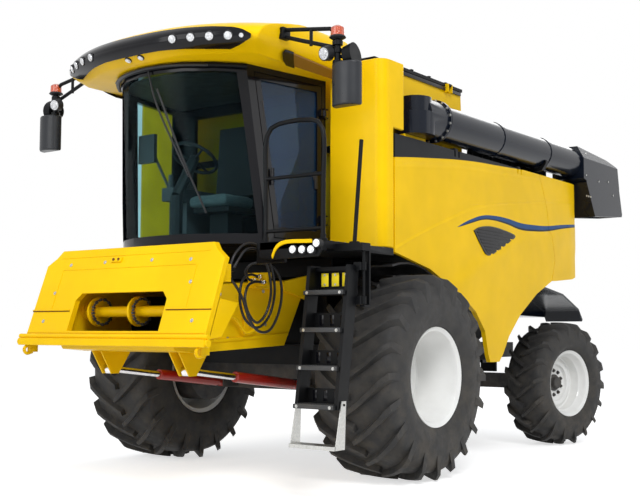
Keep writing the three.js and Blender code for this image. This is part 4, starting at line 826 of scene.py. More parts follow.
press = {
    "skin": 1.5, "out": 0.03, "in": -0.008, "fold": 0.07, "below": 0.45, "shoulderFold": 0.05,
    # y from the front axle: where the pressing comes up to its full depth, and where it fades out
    "startFrom": 0.2, "startTo": 1.0, "fadeFrom": 2.95, "fadeTo": 3.6,
    # first cut and the step to the next, along y and up
    "cutsAlong": (-0.3, 0.1), "cutsUp": (1.05, 0.045), "cuts": 44,
}


def shareBetween(value, low, high):
    return min(max((value - low) / (high - low), 0.0), 1.0)


# How far the flank stands out or in: swollen under the ridge line, hollow over it.
def pressOf(y, z):
    up = z - eased(stripe["ridge"], y)[1]
    if up < 0:
        out = press["out"] * math.exp(up / press["below"])
    else:
        t = min(up / press["fold"], 1.0)
        out = press["out"] + (press["in"] - press["out"]) * (3 * t ** 2 - 2 * t ** 3)
    shoulder = eased(stripe["shoulder"], y)[1]
    flat = min(max((z - shoulder) / press["shoulderFold"] + 1, 0.0), 1.0)
    fade = shareBetween(y, press["fadeTo"], press["fadeFrom"])
    return out * (1 - flat) * fade * shareBetween(y, press["startFrom"], press["startTo"])


def cutAcross(bm, place, normal):
    geom = list(bm.verts) + list(bm.edges) + list(bm.faces)
    bmesh.ops.bisect_plane(bm, geom=geom, dist=1e-5, plane_co=place, plane_no=normal)


# Cuts the flank of a panel into a fine grid and presses its folds.
def pressPanel(bm):
    for k in range(press["cuts"]):
        cutAcross(bm, (0, axleY + press["cutsAlong"][0] + k * press["cutsAlong"][1], 0), (0, 1, 0))
    for k in range(press["cuts"]):
        cutAcross(bm, (0, 0, press["cutsUp"][0] + k * press["cutsUp"][1]), (0, 0, 1))
    for v in bm.verts:
        if abs(v.co.x) > press["skin"] - 0.003:
            v.co.x += math.copysign(pressOf(v.co.y - axleY, v.co.z), v.co.x)


# Heights from which the crown narrows and over which it does so, and how it droops at its end.
spoutCrown = {"from": 3.3, "over": 0.142, "narrower": 0.4, "droopFrom": 3.56, "droop": 0.05}


# Draws the spout's crown in at the top, so that it runs on from the round tube.
def taperSpout(bm):
    cutAcross(bm, (0, 0, spoutCrown["from"]), (0, 0, 1))
    middle = sum(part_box("auger_spout"), Vector()).x / 2
    for v in bm.verts:
        if v.co.z > spoutCrown["from"] + 0.01:
            rise = (v.co.z - spoutCrown["from"]) / spoutCrown["over"]
            v.co.x = middle + (v.co.x - middle) * (1 - spoutCrown["narrower"] * rise)
            v.co.z -= spoutCrown["droop"] * rise * max(v.co.y - axleY - spoutCrown["droopFrom"], 0)


shapes = {"side_panel_lower": pressPanel, "rear_hood": pressPanel, "auger_spout": taperSpout}
for part, look, slotName, width in panels:
    for node in [part] if part in frame["nodes"] else [f"{part}_{name}" for name, way in sides]:
        softened(node, look, width, smoothTo.get(part, 32), shapes.get(part))
for node, look in (("windscreen", "glass"), ("window_right", "glass"), ("window_rear", "glass"),
                   ("door_glass", "doorTint")):
    frame["nodes"][node].data.materials.clear()
    frame["nodes"][node].data.materials.append(looks[look])
print("panels rounded")

# Driver's seat

seat = {"half": 0.24, "front": -1.09, "back": -0.64, "bottom": 2.3905, "top": 2.5003, "swell": 0.014}


def makeCushion():
    bm = bmesh.new()
    inset = 0.012
    addBlock(bm, (-seat["half"] + inset, seat["front"] + inset, seat["bottom"] + 0.003),
             (seat["half"] - inset, seat["back"] - inset, seat["top"] - 0.018))
    bmesh.ops.bevel(bm, geom=list(bm.edges), offset=0.03, segments=3, profile=0.5, affect="EDGES", material=-1)
    piece = makePiece("seat_cushion_cover", bm, "cloth", "machine", ("seat_cushion",), 0.0, 60)
    remesh = piece.modifiers.new("even", "REMESH")
    remesh.mode = "VOXEL"
    remesh.voxel_size = 0.009
    bpy.context.view_layer.objects.active = piece
    bpy.ops.object.modifier_apply(modifier="even")
    rest = [v.co.copy() for v in piece.data.vertices]
    cloth = piece.modifiers.new("filled", "CLOTH")
    cloth.settings.use_pressure = True
    cloth.settings.uniform_pressure_force = 4
    cloth.settings.effector_weights.gravity = 0
    cloth.point_cache.frame_start, cloth.point_cache.frame_end = 1, 20
    for step in range(1, 21):
        bpy.context.scene.frame_set(step)
    bpy.ops.object.modifier_apply(modifier="filled")
    bpy.context.scene.frame_set(1)
    for v, old in zip(piece.data.vertices, rest):
        moved = v.co - old
        if moved.length > seat["swell"]:
            v.co = old + moved.normalized() * seat["swell"]
        v.co.z = max(v.co.z, seat["bottom"] + 0.001)
    for polygon in piece.data.polygons:
        polygon.use_smooth = True
    fine = piece.modifiers.new("fine", "SUBSURF")
    fine.levels = fine.render_levels = 1


makeCushion()
print("seat padded")

# Cab roof

roof = {
    # height, half width, y of the front corner, of the nose and of the rear edge
    "rings": [(3.5003, 1.01, -1.56, -1.9, -0.495), (3.6, 1.11, -1.69, -2.045, -0.49),
              (3.7, 1.14, -1.63, -2.0, -0.49), (3.78, 1.13, -1.35, -1.83, -0.46),
              (3.85, 1.06, -1.0, -1.54, -0.48), (3.88, 0.88, -0.82, -1.25, -0.58)],
    # share across the front, low and high edge of the dark band
    "band": [(0.0, 3.561, 3.702), (0.3, 3.562, 3.702), (0.5, 3.556, 3.7), (0.68, 3.546, 3.692),
             (0.83, 3.541, 3.674), (0.9, 3.566, 3.652), (0.955, 3.604, 3.618)],
    "lampsAt": (0.43, 0.57, 0.7, 0.82),
    "lampHeight": 3.61,
    "lampRadius": 0.034,
    # share and size of the small lamps at the ends; share, height and radius of the two over the nose
    "endLamps": (0.9, 0.55),
    "noseLamps": (0.07, 3.535, 0.026),
    "vent": (1.36, 2.04),
    "ventCap": (1.3, 1.45),
    "sideLamp": (1.38, 3.545, 0.022),
}


# A place on the roof's skin: share is -1 to 1 across the front, and past that in metres along the side.
def roofPoint(share, height):
    half, corner, nose = eased(roof["rings"], height)[1:4]
    if abs(share) > 1:
        return Vector((math.copysign(half, share), corner + abs(share) - 1, height))
    return Vector((share * half, nose + (corner - nose) * abs(share) ** 2.4, height))


def roofNormal(share, height):
    across = roofPoint(share + 0.01, height) - roofPoint(share - 0.01, height)
    up = roofPoint(share, height + 0.005) - roofPoint(share, height - 0.005)
    return across.cross(up).normalized()


def makeRoof():
    bm = bmesh.new()
    shares = [-1 + i / 18 for i in range(37)]
    low, high = roof["rings"][0][0], roof["rings"][-1][0]
    rows = []
    for i in range(25):
        height = low + (high - low) * i / 24
        half, corner, nose, rear = eased(roof["rings"], height)[1:]
        places = [(s * half, nose + (corner - nose) * abs(s) ** 2.4) for s in shares]
        places += [(half, corner + (rear - corner) * k / 6) for k in range(1, 7)]
        places += [(half * (1 - k / 6), rear) for k in range(1, 12)]
        places += [(-half, rear + (corner - rear) * k / 6) for k in range(6)]
        verts = [bm.verts.new((x, y, height)) for x, y in places]
        rows.append([bm.edges.new(pair) for pair in zip(verts, verts[1:] + verts[:1])])
    for lower, upper in zip(rows, rows[1:]):
        bmesh.ops.bridge_loops(bm, edges=lower + upper)
    for ring in (rows[0], rows[-1]):
        bmesh.ops.edgeloop_fill(bm, edges=ring)
    bmesh.ops.recalc_face_normals(bm, faces=bm.faces)
    makePiece("cab_roof_skin", bm, "yellow", "machine", ("cab_roof",), 0.012, 40)


# A sheet that follows the roof from one share to another, between the edges given for each share.
def addRoofSheet(bm, start, end, steps, edges, lift, thick, across=6):
    made = bmesh.ops.create_grid(bm, x_segments=steps, y_segments=across, size=0.5)
    for vert in made["verts"]:
        share = start + (end - start) * (vert.co.x + 0.5)
        low, high = edges(share)
        height = low + (high - low) * (vert.co.y + 0.5)
        vert.co = roofPoint(share, height) + roofNormal(share, height) * lift
    faces = linked(made["verts"], "link_faces")
    bmesh.ops.solidify(bm, geom=faces, thickness=thick)


def bandEdges(share):
    return eased(roof["band"], abs(share), False)[1:]


# A round lamp: housing and lens, both turned about the axis.
def addRoundLamp(housing, lens, place, axis, radius, depth=0.02):
    place, axis = Vector(place), Vector(axis).normalized()
    addRod(housing, place - axis * 0.02, place + axis * depth, radius * 1.22, 28, radius * 1.14)
    addRod(lens, place, place + axis * (depth + 0.004), radius, 28, radius * 0.94)
    addRod(lens, place, place + axis * (depth + 0.009), radius * 0.94, 28, radius * 0.6)


def addRoofPiece(name, look, start, end, steps, edges, lift, thick, degrees=32):
    bm = bmesh.new()
    addRoofSheet(bm, start, end, steps, edges, lift, thick)
    bmesh.ops.recalc_face_normals(bm, faces=bm.faces)
    makePiece(name, bm, look, "machine", degrees=degrees)


def makeRoofTrim():
    last = roof["band"][-1][0]
    addRoofPiece("roof_band", "gloss", -last, last, 60, bandEdges, 0.006, 0.016, 40)
    housing, lens = bmesh.new(), bmesh.new()
    shares = [s * way for s in roof["lampsAt"] for way in (1, -1)]
    end, endSize = roof["endLamps"]
    nose, noseHeight, noseRadius = roof["noseLamps"]
    height, radius = roof["lampHeight"], roof["lampRadius"]
    spots = [(share, height, radius, 0.014) for share in shares]
    spots += [(way * end, height, radius * endSize, 0.014) for way in (1, -1)]
    spots += [(way * nose, noseHeight, noseRadius, 0.01) for way in (-1, 1)]
    for name, way in sides:
        start, stop = roof["vent"]
        addRoofPiece(f"roof_vent_{name}", "bronze", way * start, way * stop, 9, ventEdges, 0.006, 0.014)
        start, stop = roof["ventCap"]
        addRoofPiece(f"roof_vent_cap_{name}", "gloss", way * start, way * stop, 4, capEdges, 0.012, 0.02)
        share, height, radius = roof["sideLamp"]
        spots.append((way * share, height, radius, 0.016))
    for share, height, radius, depth in spots:
        addRoundLamp(housing, lens, roofPoint(share, height), roofNormal(share, height), radius, depth)
    makePiece("roof_lamp_housings", housing, "darkPlastic", "machine", bevel=0.002, degrees=32)
    makePiece("roof_lamp_lenses", lens, "lens", "machine")


def ventEdges(share):
    along = abs(share) - 1.36
    return 3.508, 3.578 - 0.03 * along


def capEdges(share):
    inside = min((abs(share) - 1.28) / 0.06, 1.0)
    return 3.543 - 0.045 * inside, 3.545 + 0.037 * inside


makeRoof()
makeRoofTrim()
print("roof made")

# Mirrors and beacons

mirror = {"y": -1.4, "inner": 1.62, "outer": 1.88, "bottom": 3.0, "top": 3.36, "post": 1.67,
          "beaconRadius": 0.056}


def makeMirror(sideName, way):
    node = f"mirror_{sideName}"
    matrix = Matrix.Translation((0, axleY, 0)) @ Matrix.Diagonal((way, 1, 1, 1))
    y, post = mirror["y"], mirror["post"]
    arm = bmesh.new()
    addBlock(arm, (1.09, y - 0.055, 3.632), (1.172, y + 0.045, 3.728), 0.008)
    for start, end, radius in (((1.16, y - 0.01, 3.708), (1.6, y, 3.645), 0.017),
                               ((1.6, y, 3.645), (post, y, 3.6), 0.017),
                               ((1.16, y - 0.01, 3.648), (post, y, 3.48), 0.017),
                               ((1.42, y - 0.01, 3.682), (1.42, y - 0.01, 3.535), 0.014),
                               ((post, y, 3.33), (post, y, 3.6), 0.026),
                               ((post, y, 3.42), (1.74, y + 0.06, 3.4), 0.014)):
        addRod(arm, start, end, radius, 14)
    for z, radius in ((3.345, 0.04), (3.44, 0.036), (3.5, 0.042)):
        addRod(arm, (post, y, z), (post, y, z + 0.035), radius, 20)
    for x, z in ((1.1, 3.66), (1.1, 3.71), (1.15, 3.66), (1.15, 3.71)):
        addBolt(arm, (x, y - 0.056, z), (0, -1, 0), 0.008)
    addRod(arm, (1.72, y + 0.05, 3.41), (1.8, y + 0.06, 3.42), 0.085, 32, 0.1)
    makePiece(f"mirror_arm_{sideName}", arm, "black", "machine", (node,), 0.002, 32, matrix)
    head = bmesh.new()
    middle, wide = (mirror["inner"] + mirror["outer"]) / 2, (mirror["outer"] - mirror["inner"]) / 2
    angles = [math.pi * (1 + k / 16) for k in range(17)]
    arc = [(middle + wide * math.cos(a), y + 0.02 + 0.095 * math.sin(a)) for a in angles]
    outline = arc + [(mirror["outer"] - 0.006, y + 0.045), (mirror["inner"] + 0.006, y + 0.045)]
    addPlate(head, outline, "z", mirror["bottom"] + 0.012, mirror["top"] - 0.004)
    makePiece(f"mirror_shell_{sideName}", head, "shell", "machine",
              bevel=0.016, degrees=50, matrix=matrix)
    glassBm = bmesh.new()
    addBlock(glassBm, (mirror["inner"] + 0.02, y + 0.044, mirror["bottom"] + 0.03),
             (mirror["outer"] - 0.02, y + 0.049, mirror["top"] - 0.022), 0.002)
    makePiece(f"mirror_glass_{sideName}", glassBm, "mirror", "machine", matrix=matrix)
    base, lens = bmesh.new(), bmesh.new()
    addRod(base, (post, y, 3.548), (post, y, 3.562), 0.045, 28, 0.068)
    addRod(base, (post, y, 3.562), (post, y, 3.576), 0.068, 28, 0.058)
    addRod(lens, (post, y, 3.574), (post, y, 3.64), mirror["beaconRadius"], 28, 0.053)
    addRod(lens, (post, y, 3.64), (post, y, 3.656), 0.053, 28, 0.03)
    makePiece(f"beacon_base_{sideName}", base, "darkPlastic", "machine",
              bevel=0.002, degrees=40, matrix=matrix)
    makePiece(f"beacon_lens_{sideName}", lens, "amber", "machine",
              bevel=0.003, degrees=30, matrix=matrix)
    housing, glow = bmesh.new(), bmesh.new()
    addRoundLamp(housing, glow, (1.6, y - 0.04, 3.44), (-0.15, -1, -0.25), 0.05, 0.04)
    addRod(housing, (1.6, y, 3.445), (1.66, y, 3.455), 0.014, 12)
    makePiece(f"work_lamp_housing_{sideName}", housing, "darkPlastic", "machine",
              bevel=0.002, matrix=matrix)
    makePiece(f"work_lamp_lens_{sideName}", glow, "lens", "machine", matrix=matrix)


for name, way in sides:
    makeMirror(name, way)
print("mirrors made")

# Platform and ladder

platform = {"front": -1.552, "studRows": 19, "studColumns": 11,
            "lampsAt": ((1.372, 1.909), (1.461, 1.905), (1.548, 1.902), (1.6, 1.948)),
            "lampRadius": 0.031, "boltsAt": (1.04, 1.14, 1.24, 1.4, 1.56)}


def makePlatformTrim():
    housing, lens = bmesh.new(), bmesh.new()
    for x, z in platform["lampsAt"]:
        addRoundLamp(housing, lens, (x, platform["front"], z), (0.1, -1, 0.05), platform["lampRadius"], 0.026)
    makePiece("platform_lamp_housings", housing, "darkPlastic", "machine", bevel=0.002)
    makePiece("platform_lamp_lenses", lens, "lens", "machine")
    strip = bmesh.new()
    route = routed([(1.15, -1.56, 1.865), (1.185, -1.56, 1.93), (1.25, -1.56, 1.972), (1.54, -1.56, 1.975)], 5)
    lower = [(p.x + 0.008, p.z - 0.02) for p in route]
    upper = [(p.x, p.z + 0.01) for p in reversed(route)]
    addPlate(strip, lower + upper, "y", -1.562, -1.535)
    shield = bmesh.new()
    addPlate(shield, [(1.02, 1.86), (1.12, 1.84), (1.6, 1.85), (1.63, 1.9), (1.61, 1.985), (1.02, 1.985)], "y",
             -1.55, -1.53)
    makePiece("platform_lamp_shield", shield, "black", "machine", bevel=0.006)
    makePiece("platform_yellow_strip", strip, "yellow", "machine", bevel=0.003)
    deckBm = bmesh.new()
    for row in range(platform["studRows"]):
        for column in range(platform["studColumns"]):
            x, y = 1.01 + column * 0.055 + 0.02 * (row % 2), -1.4 + row * 0.046
            addRod(deckBm, (x, y, 1.9795), (x, y, 1.984), 0.011, 8, 0.006)
    makePiece("platform_tread_studs", deckBm, "steel", "machine")
    bolts = bmesh.new()
    for x in platform["boltsAt"]:
        addBolt(bolts, (x, -1.5, 1.86 if x < 1.2 else 1.915), (0, -1, 0), 0.01)
    for x, z in ((1.01, 2.03), (1.58, 2.03)):
        addRod(bolts, (x, -1.46, 1.981), (x, -1.46, 1.995), 0.034, 20)
        addRod(bolts, (x, -1.46, 1.99), (x, -1.46, z), 0.023, 20)
    makePiece("platform_bolts", bolts, "black", "machine", bevel=0.001)


ladder = {"inner": 1.385, "outer": 1.785, "topY": -1.27, "lean": 0.16 / 1.09, "top": 1.79, "bottom": 0.7,
          "rise": 0.287, "steps": 4, "gripBars": 15, "barStep": 0.0234, "platesAt": (-0.1, 0, 0.1)}


def ladderY(z):
    return ladder["topY"] - ladder["lean"] * (ladder["top"] - z)


def makeLadderTrim():
    body = frame["nodes"]["ladder"]["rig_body"]
    left, right = ladder["inner"], ladder["outer"]
    middle = (left + right) / 2
    plates, bolts, lips, slots = bmesh.new(), bmesh.new(), bmesh.new(), bmesh.new()
    front = ladderY(1.7) - 0.018
    for x in [middle + off for off in ladder["platesAt"]]:
        addBlock(plates, (x - 0.034, front - 0.006, 1.63), (x + 0.034, front, 1.735), 0.002)
        for z in (1.645, 1.72):
            addBolt(bolts, (x, front - 0.006, z), (0, -1, 0), 0.006, 0.005)
    for i in range(ladder["steps"]):
        z = ladder["bottom"] + i * ladder["rise"]
        front = ladderY(z) - 0.16
        for k in range(ladder["gripBars"]):
            x = left + 0.036 + k * ladder["barStep"]
            addBlock(lips, (x - 0.006, front - 0.004, z + 0.026), (x + 0.006, ladderY(z) - 0.03, z + 0.038))
        addBlock(lips, (left + 0.012, front - 0.005, z + 0.002),
                 (right - 0.012, front + 0.004, z + 0.034), 0.002)
        for x in (left + 0.045, right - 0.045):
            addBolt(bolts, (x, front - 0.004, z + 0.017), (0, -1, 0), 0.008, 0.006)
    for i in range(ladder["steps"] - 1):
        z = ladder["bottom"] + i * ladder["rise"]
        y = ladderY(z + 0.09) - 0.012
        for x in [middle + off for off in ladder["platesAt"]]:
            addBlock(slots, (x - 0.02, y - 0.005, z + 0.05), (x + 0.02, y, z + 0.135), 0.004)
    makePiece("ladder_blank_plates", plates, "plate", body, bevel=0.001)
    makePiece("ladder_bolts", bolts, "steel", body)
    makePiece("ladder_tread_grips", lips, "scuffed", body)
    makePiece("ladder_riser_slots", slots, "gloss", body)


makePlatformTrim()
makeLadderTrim()
print("platform and ladder trimmed")

# Hoses

hoses = {
    "radius": 0.011,
    "routes": [
        [(0.885, -1.7997, 1.76), (0.885, -1.765, 1.76), (0.893, -1.7, 1.88), (0.896, -1.59, 1.968),
         (0.894, -1.43, 1.975), (0.892, -1.27, 1.85), (0.892, -1.195, 1.62), (0.884, -1.26, 1.4),
         (0.876, -1.4, 1.31), (0.866, -1.54, 1.38), (0.846, -1.58, 1.54), (0.815, -1.51, 1.69),
         (0.795, -1.39, 1.742), (0.79, -1.29, 1.73), (0.79, -1.2403, 1.73)],
        [(0.925, -1.7997, 1.76), (0.925, -1.765, 1.76), (0.932, -1.7, 1.84), (0.934, -1.61, 1.925),
         (0.932, -1.46, 1.93), (0.926, -1.33, 1.8), (0.922, -1.28, 1.6), (0.916, -1.34, 1.42),
         (0.908, -1.44, 1.35), (0.898, -1.53, 1.42), (0.884, -1.56, 1.54), (0.86, -1.5, 1.64),
         (0.834, -1.39, 1.68), (0.83, -1.29, 1.685), (0.83, -1.2403, 1.685)],
        [(0.9, -1.7997, 1.69), (0.9, -1.765, 1.69), (0.912, -1.7, 1.63), (0.938, -1.65, 1.53),
         (0.952, -1.59, 1.38), (0.954, -1.48, 1.285), (0.95, -1.34, 1.285), (0.94, -1.22, 1.4),
         (0.928, -1.15, 1.56), (0.916, -1.15, 1.7), (0.89, -1.2, 1.8), (0.85, -1.29, 1.835),
         (0.79, -1.37, 1.83), (0.745, -1.39, 1.77), (0.73, -1.34, 1.71), (0.73, -1.29, 1.7),
         (0.73, -1.2403, 1.7)],
    ],
}


def makeHoses():
    for i, points in enumerate(hoses["routes"], 1):
        node = f"hose_{i}"
        body = frame["nodes"][node]["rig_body"]
        name = f"hydraulic_hose_{i}"
        piece = makeTube(name, [points], hoses["radius"], "rubber", body, (node,), 8, 5)


makeHoses()
print("hoses laid")

# Side panels: vent and bolts

sideTrim = {
    "skin": 1.514,
    "vent": [(1.1, 2.262), (1.2, 2.3), (1.42, 2.33), (1.72, 2.318), (2.0, 2.272), (1.86, 2.2),
             (1.62, 2.105), (1.38, 2.035), (1.24, 2.13)],
    "slats": 7, "slatFrom": 2.09, "slatStep": 0.032,
}


def shrunk(outline, by):
    middle = [sum(p[k] for p in outline) / len(outline) for k in (0, 1)]
    return [tuple(m + (p - m) * by for p, m in zip(place, middle)) for place in outline]


def makeSideTrim(sideName, way):
    body = frame["nodes"][f"side_panel_lower_{sideName}"]["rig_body"]
    matrix = Matrix.Translation((0, axleY, 0)) @ Matrix.Diagonal((way, 1, 1, 1))
    skin = sideTrim["skin"]
    corners = [(0, y, z) for y, z in sideTrim["vent"] + sideTrim["vent"][:1]]
    smoothOutline = [(p.y, p.z) for p in routed(corners, 4)[:-1]]
    trim = bmesh.new()
    addPlate(trim, smoothOutline, "x", skin - 0.024, skin + 0.006)
    makePiece(f"panel_vent_trim_{sideName}", trim, "shell", body,
              bevel=0.003, degrees=40, matrix=matrix)
    inner = bmesh.new()
    addPlate(inner, shrunk(smoothOutline, 0.9), "x", skin - 0.005, skin + 0.0075)
    makePiece(f"panel_vent_dark_{sideName}", inner, "gloss", body, degrees=40, matrix=matrix)
    slats = bmesh.new()
    for k in range(sideTrim["slats"]):
        z = sideTrim["slatFrom"] + k * sideTrim["slatStep"]
        inside = [y for y, h in shrunk(smoothOutline, 0.86) if abs(h - z) < 0.02]
        if len(inside) > 1:
            addBlock(slats, (skin, min(inside), z - 0.005), (skin + 0.011, max(inside), z + 0.005), 0.002)
    makePiece(f"panel_vent_slats_{sideName}", slats, "darkPlastic", body, matrix=matrix)
    bolts = bmesh.new()
    addBolt(bolts, (skin - 0.01, 1.0, 1.03), (1, 0, 0), 0.02, 0.014)
    makePiece(f"panel_bolt_{sideName}", bolts, "steel", body, matrix=matrix)


for name, way in sides:
    makeSideTrim(name, way)
print("side trim made")

# Feeder face and house

face = {"lean": 0.275 / 0.765,
        "boltsAt": [(-0.72, 1.84), (-0.3, 1.85), (0.25, 1.85), (0.68, 1.84),
                    (-0.82, 1.6), (0.74, 1.66), (-0.86, 1.36), (0.86, 1.36)]}


def facePoint(x, z, lift=0.0):
    return Vector((x, -2.2 + (z - 1.205) * face["lean"] - lift * 0.941, z + lift * 0.338))


# The drum's axis, at the centre of the two side bearings.
drum = {"y": -1.86, "z": 1.44, "chainsAt": (-0.44, 0.04, 0.46), "links": 26, "chainRadius": 0.105}
feeder = {
    # y, low and high of each side rib; y and z of the bolts
    "ribs": [(-1.66, 1.2, 1.62), (-1.3, 1.24, 1.66), (-0.95, 1.4, 1.68)],
    "boltsAt": [(-1.6, 1.58), (-1.05, 1.62), (-1.02, 1.34), (-1.5, 1.22)],
    "bearing": 0.085, "bearingBolts": 0.065,
}
faceTurn = Matrix.Rotation(-math.atan(face["lean"]), 4, "X")


# A block lying on the sloping face, from (x, z) low to high, thick and lifted off the plate.
def addOnFace(bm, low, high, thick, lift=0.0, bevel=0.0):
    middle = facePoint((low[0] + high[0]) / 2, (low[1] + high[1]) / 2, lift + thick / 2)
    stretch = math.hypot(1, face["lean"])
    size = (high[0] - low[0], thick, (high[1] - low[1]) * stretch)
    made = bmesh.ops.create_cube(bm, size=1.0, matrix=Matrix.Translation(middle) @ faceTurn
                                 @ Matrix.Diagonal((*size, 1)))
    if bevel:
        roundOff(bm, made["verts"], bevel)


def makeFaceTrim():
    body = frame["nodes"]["feeder_face"]["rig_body"]
    plate, bolts, worn = bmesh.new(), bmesh.new(), bmesh.new()
    addOnFace(plate, (-0.86, 1.9), (0.86, 1.912), 0.004)
    addOnFace(plate, (-0.8, 1.795), (0.76, 1.801), 0.004)
    for x in (-0.8, 0.76):
        addOnFace(plate, (x - 0.003, 1.46), (x + 0.003, 1.8), 0.004)
    addOnFace(plate, (-1.02, 1.262), (1.02, 1.27), 0.006)
    for low, high in (((-1.03, 1.446), (-0.56, 1.456)), ((0.56, 1.446), (1.03, 1.456))):
        addOnFace(plate, low, high, 0.012, 0.0, 0.002)
        addOnFace(worn, (low[0], low[1] - 0.006), (high[0], low[1]), 0.006)
    addOnFace(plate, (-0.22, 1.845), (-0.1, 1.885), 0.014, 0.0, 0.003)
    for x in (-0.19, -0.13):
        addRod(worn, facePoint(x, 1.865, 0.0), facePoint(x, 1.865, 0.02), 0.012, 12)
    for x, z in face["boltsAt"]:
        addBolt(bolts, facePoint(x, z), (0, -0.941, 0.338), 0.01, 0.008)
    makePiece("face_plates", plate, "yellow", body, bevel=0.001)
    makePiece("face_bolts", bolts, "steel", body)
    makePiece("face_marks", worn, "wornEdge", body)
    bar = bmesh.new()
    addRod(bar, (-1.085, -2.2, 1.236), (1.085, -2.2, 1.236), 0.02, 20)
    addRod(bar, (-1.09, -2.205, 1.19), (1.09, -2.205, 1.19), 0.028, 20)
    for x in (-0.99, 0.99):
        hook = routed([(x, -2.2, 1.16), (x, -2.235, 1.125), (x, -2.21, 1.09), (x, -2.15, 1.1)], 4)
        for a, b in zip(hook, hook[1:]):
            addRod(bar, a, b, 0.014, 10)
        addBlock(bar, (x - 0.016, -2.19, 1.1), (x + 0.016, -2.1, 1.2), 0.004)
    makePiece("face_lock_tube", bar, "yellow", body, bevel=0.001, degrees=40)


def makeFeederTrim():
    body = frame["nodes"]["feeder_house"]["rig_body"]
    lever = [[(0.66, -2.0, 1.22), (0.69, -1.9, 1.27), (0.69, -1.5, 1.4), (0.69, -1.43, 1.37),
              (0.69, -1.32, 1.27), (0.69, -1.2, 1.31), (0.69, -1.24, 1.4), (0.69, -1.36, 1.42)]]
    makeTube("feeder_latch_lever", lever, 0.013, "yellow", body, (), 3, 4)
    ribs, bolts = bmesh.new(), bmesh.new()
    for way in (1, -1):
        matrix = Matrix.Diagonal((way, 1, 1, 1))
        rib = bmesh.new()
        for y, low, high in feeder["ribs"]:
            addBlock(rib, (0.649, y - 0.012, low), (0.664, y + 0.012, high), 0.003)
        strap = [(-1.95, 1.2), (-1.93, 1.2), (-0.72, 1.27), (-0.72, 1.245), (-1.95, 1.175)]
        addPlate(rib, strap, "x", 0.649, 0.662)
        addRod(rib, (0.645, drum["y"], drum["z"]), (0.672, drum["y"], drum["z"]), feeder["bearing"], 28)
        bmesh.ops.transform(rib, matrix=matrix, verts=rib.verts)
        if way < 0:
            bmesh.ops.reverse_faces(rib, faces=rib.faces)
        scratch = meshFrom(rib, "rib")
        ribs.from_mesh(scratch)
        bpy.data.meshes.remove(scratch)
        for turn in range(6):
            angle = turn * math.pi / 3
            y = drum["y"] + feeder["bearingBolts"] * math.cos(angle)
            z = drum["z"] + feeder["bearingBolts"] * math.sin(angle)
            addBolt(bolts, (way * 0.672, y, z), (way, 0, 0), 0.008)
        for y, z in feeder["boltsAt"]:
            addBolt(bolts, (way * 0.65, y, z), (way, 0, 0), 0.01)
    makePiece("feeder_side_ribs", ribs, "yellow", body, bevel=0.002)
    makePiece("feeder_side_bolts", bolts, "steel", body)
    fittings = bmesh.new()
    for points in hoses["routes"]:
        x, y, z = points[-1]
        addRod(fittings, (x, y - 0.001, z), (x, y - 0.06, z), 0.016, 12)
        addRod(fittings, (x, y - 0.012, z), (x, y - 0.032, z), 0.021, 6)
    makePiece("hose_end_fittings", fittings, "chrome", body, bevel=0.001)
    coupling = bmesh.new()
    for points in hoses["routes"]:
        x, y, z = points[0]
        addRod(coupling, (x, y + 0.001, z), (x, y + 0.05, z), 0.019, 14)
    addBlock(coupling, (0.864, -1.86, 1.664), (0.944, -1.7995, 1.796), 0.008)
    body = frame["nodes"]["feeder_face"]["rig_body"]
    makePiece("hose_coupler_block", coupling, "black", body, bevel=0.001)


def makeTunnelTrim():
    body = frame["nodes"]["feeder_house"]["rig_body"]
    floorBm, slats = bmesh.new(), bmesh.new()
    addPlate(floorBm, [(-1.98, 1.2), (-1.0, 1.2), (-1.0, 1.206), (-1.98, 1.206)], "x", -0.62, 0.62)
    addBlock(floorBm, (-0.62, -1.36, 1.21), (0.62, -1.35, 1.58), 0.002)
    for k in range(5):
        y = -1.62 + 0.13 * (k - 2) * 0.5
        addBlock(slats, (-0.58, y - 0.02, 1.215), (0.58, y - 0.012, 1.25), 0.001)
        addBlock(slats, (-0.58, y - 0.02, 1.215), (0.58, y + 0.02, 1.222), 0.001)
    makePiece("tunnel_floor", floorBm, "black", body)
    makePiece("tunnel_slats", slats, "iron", body)


def makeDrumTrim():
    body = frame["nodes"]["feeder_drum"]["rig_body"]
    chain = bmesh.new()
    outwards = Matrix.Translation((0, 0, drum["chainRadius"]))
    for x in drum["chainsAt"]:
        for k in range(drum["links"]):
            angle = 2 * math.pi * k / drum["links"]
            middle = Matrix.Translation((x, drum["y"], drum["z"])) @ Matrix.Rotation(angle, 4, "X")
            size = (0.022, 0.02, 0.024 if k % 2 else 0.012)
            matrix = middle @ outwards @ Matrix.Diagonal((*size, 1))
            bmesh.ops.create_cube(chain, size=1.0, matrix=matrix)
    makePiece("drum_chains", chain, "iron", body, bevel=0.002)


makeFaceTrim()
makeFeederTrim()
makeTunnelTrim()
makeDrumTrim()
print("feeder trimmed")

# Auger, tank and hood

auger = {
    "x": 1.44, "z": 3.232, "radius": 0.172, "rise": 0.0074,
    # y of the flange, of its two rings and of the clamps further back
    "flange": 0.44, "rings": (0.44, 0.462), "clamps": (1.6, 2.72), "flangeBolts": 16,
    # y and z of the bolts on the spout's flank
    "spoutBolts": [(3.62, 3.1), (3.62, 3.35), (4.3, 3.1), (4.45, 2.95), (4.0, 3.07)],
    "spoutSlots": (3.62, 3.68, 3.74),
}
# The first number is how many bars the black sheet of painted shade under the auger has.
deck = {"shadeFillBars": 9, "coverRibs": 4, "louvres": 14, "louvreFrom": 1.75, "louvreStep": 0.1}


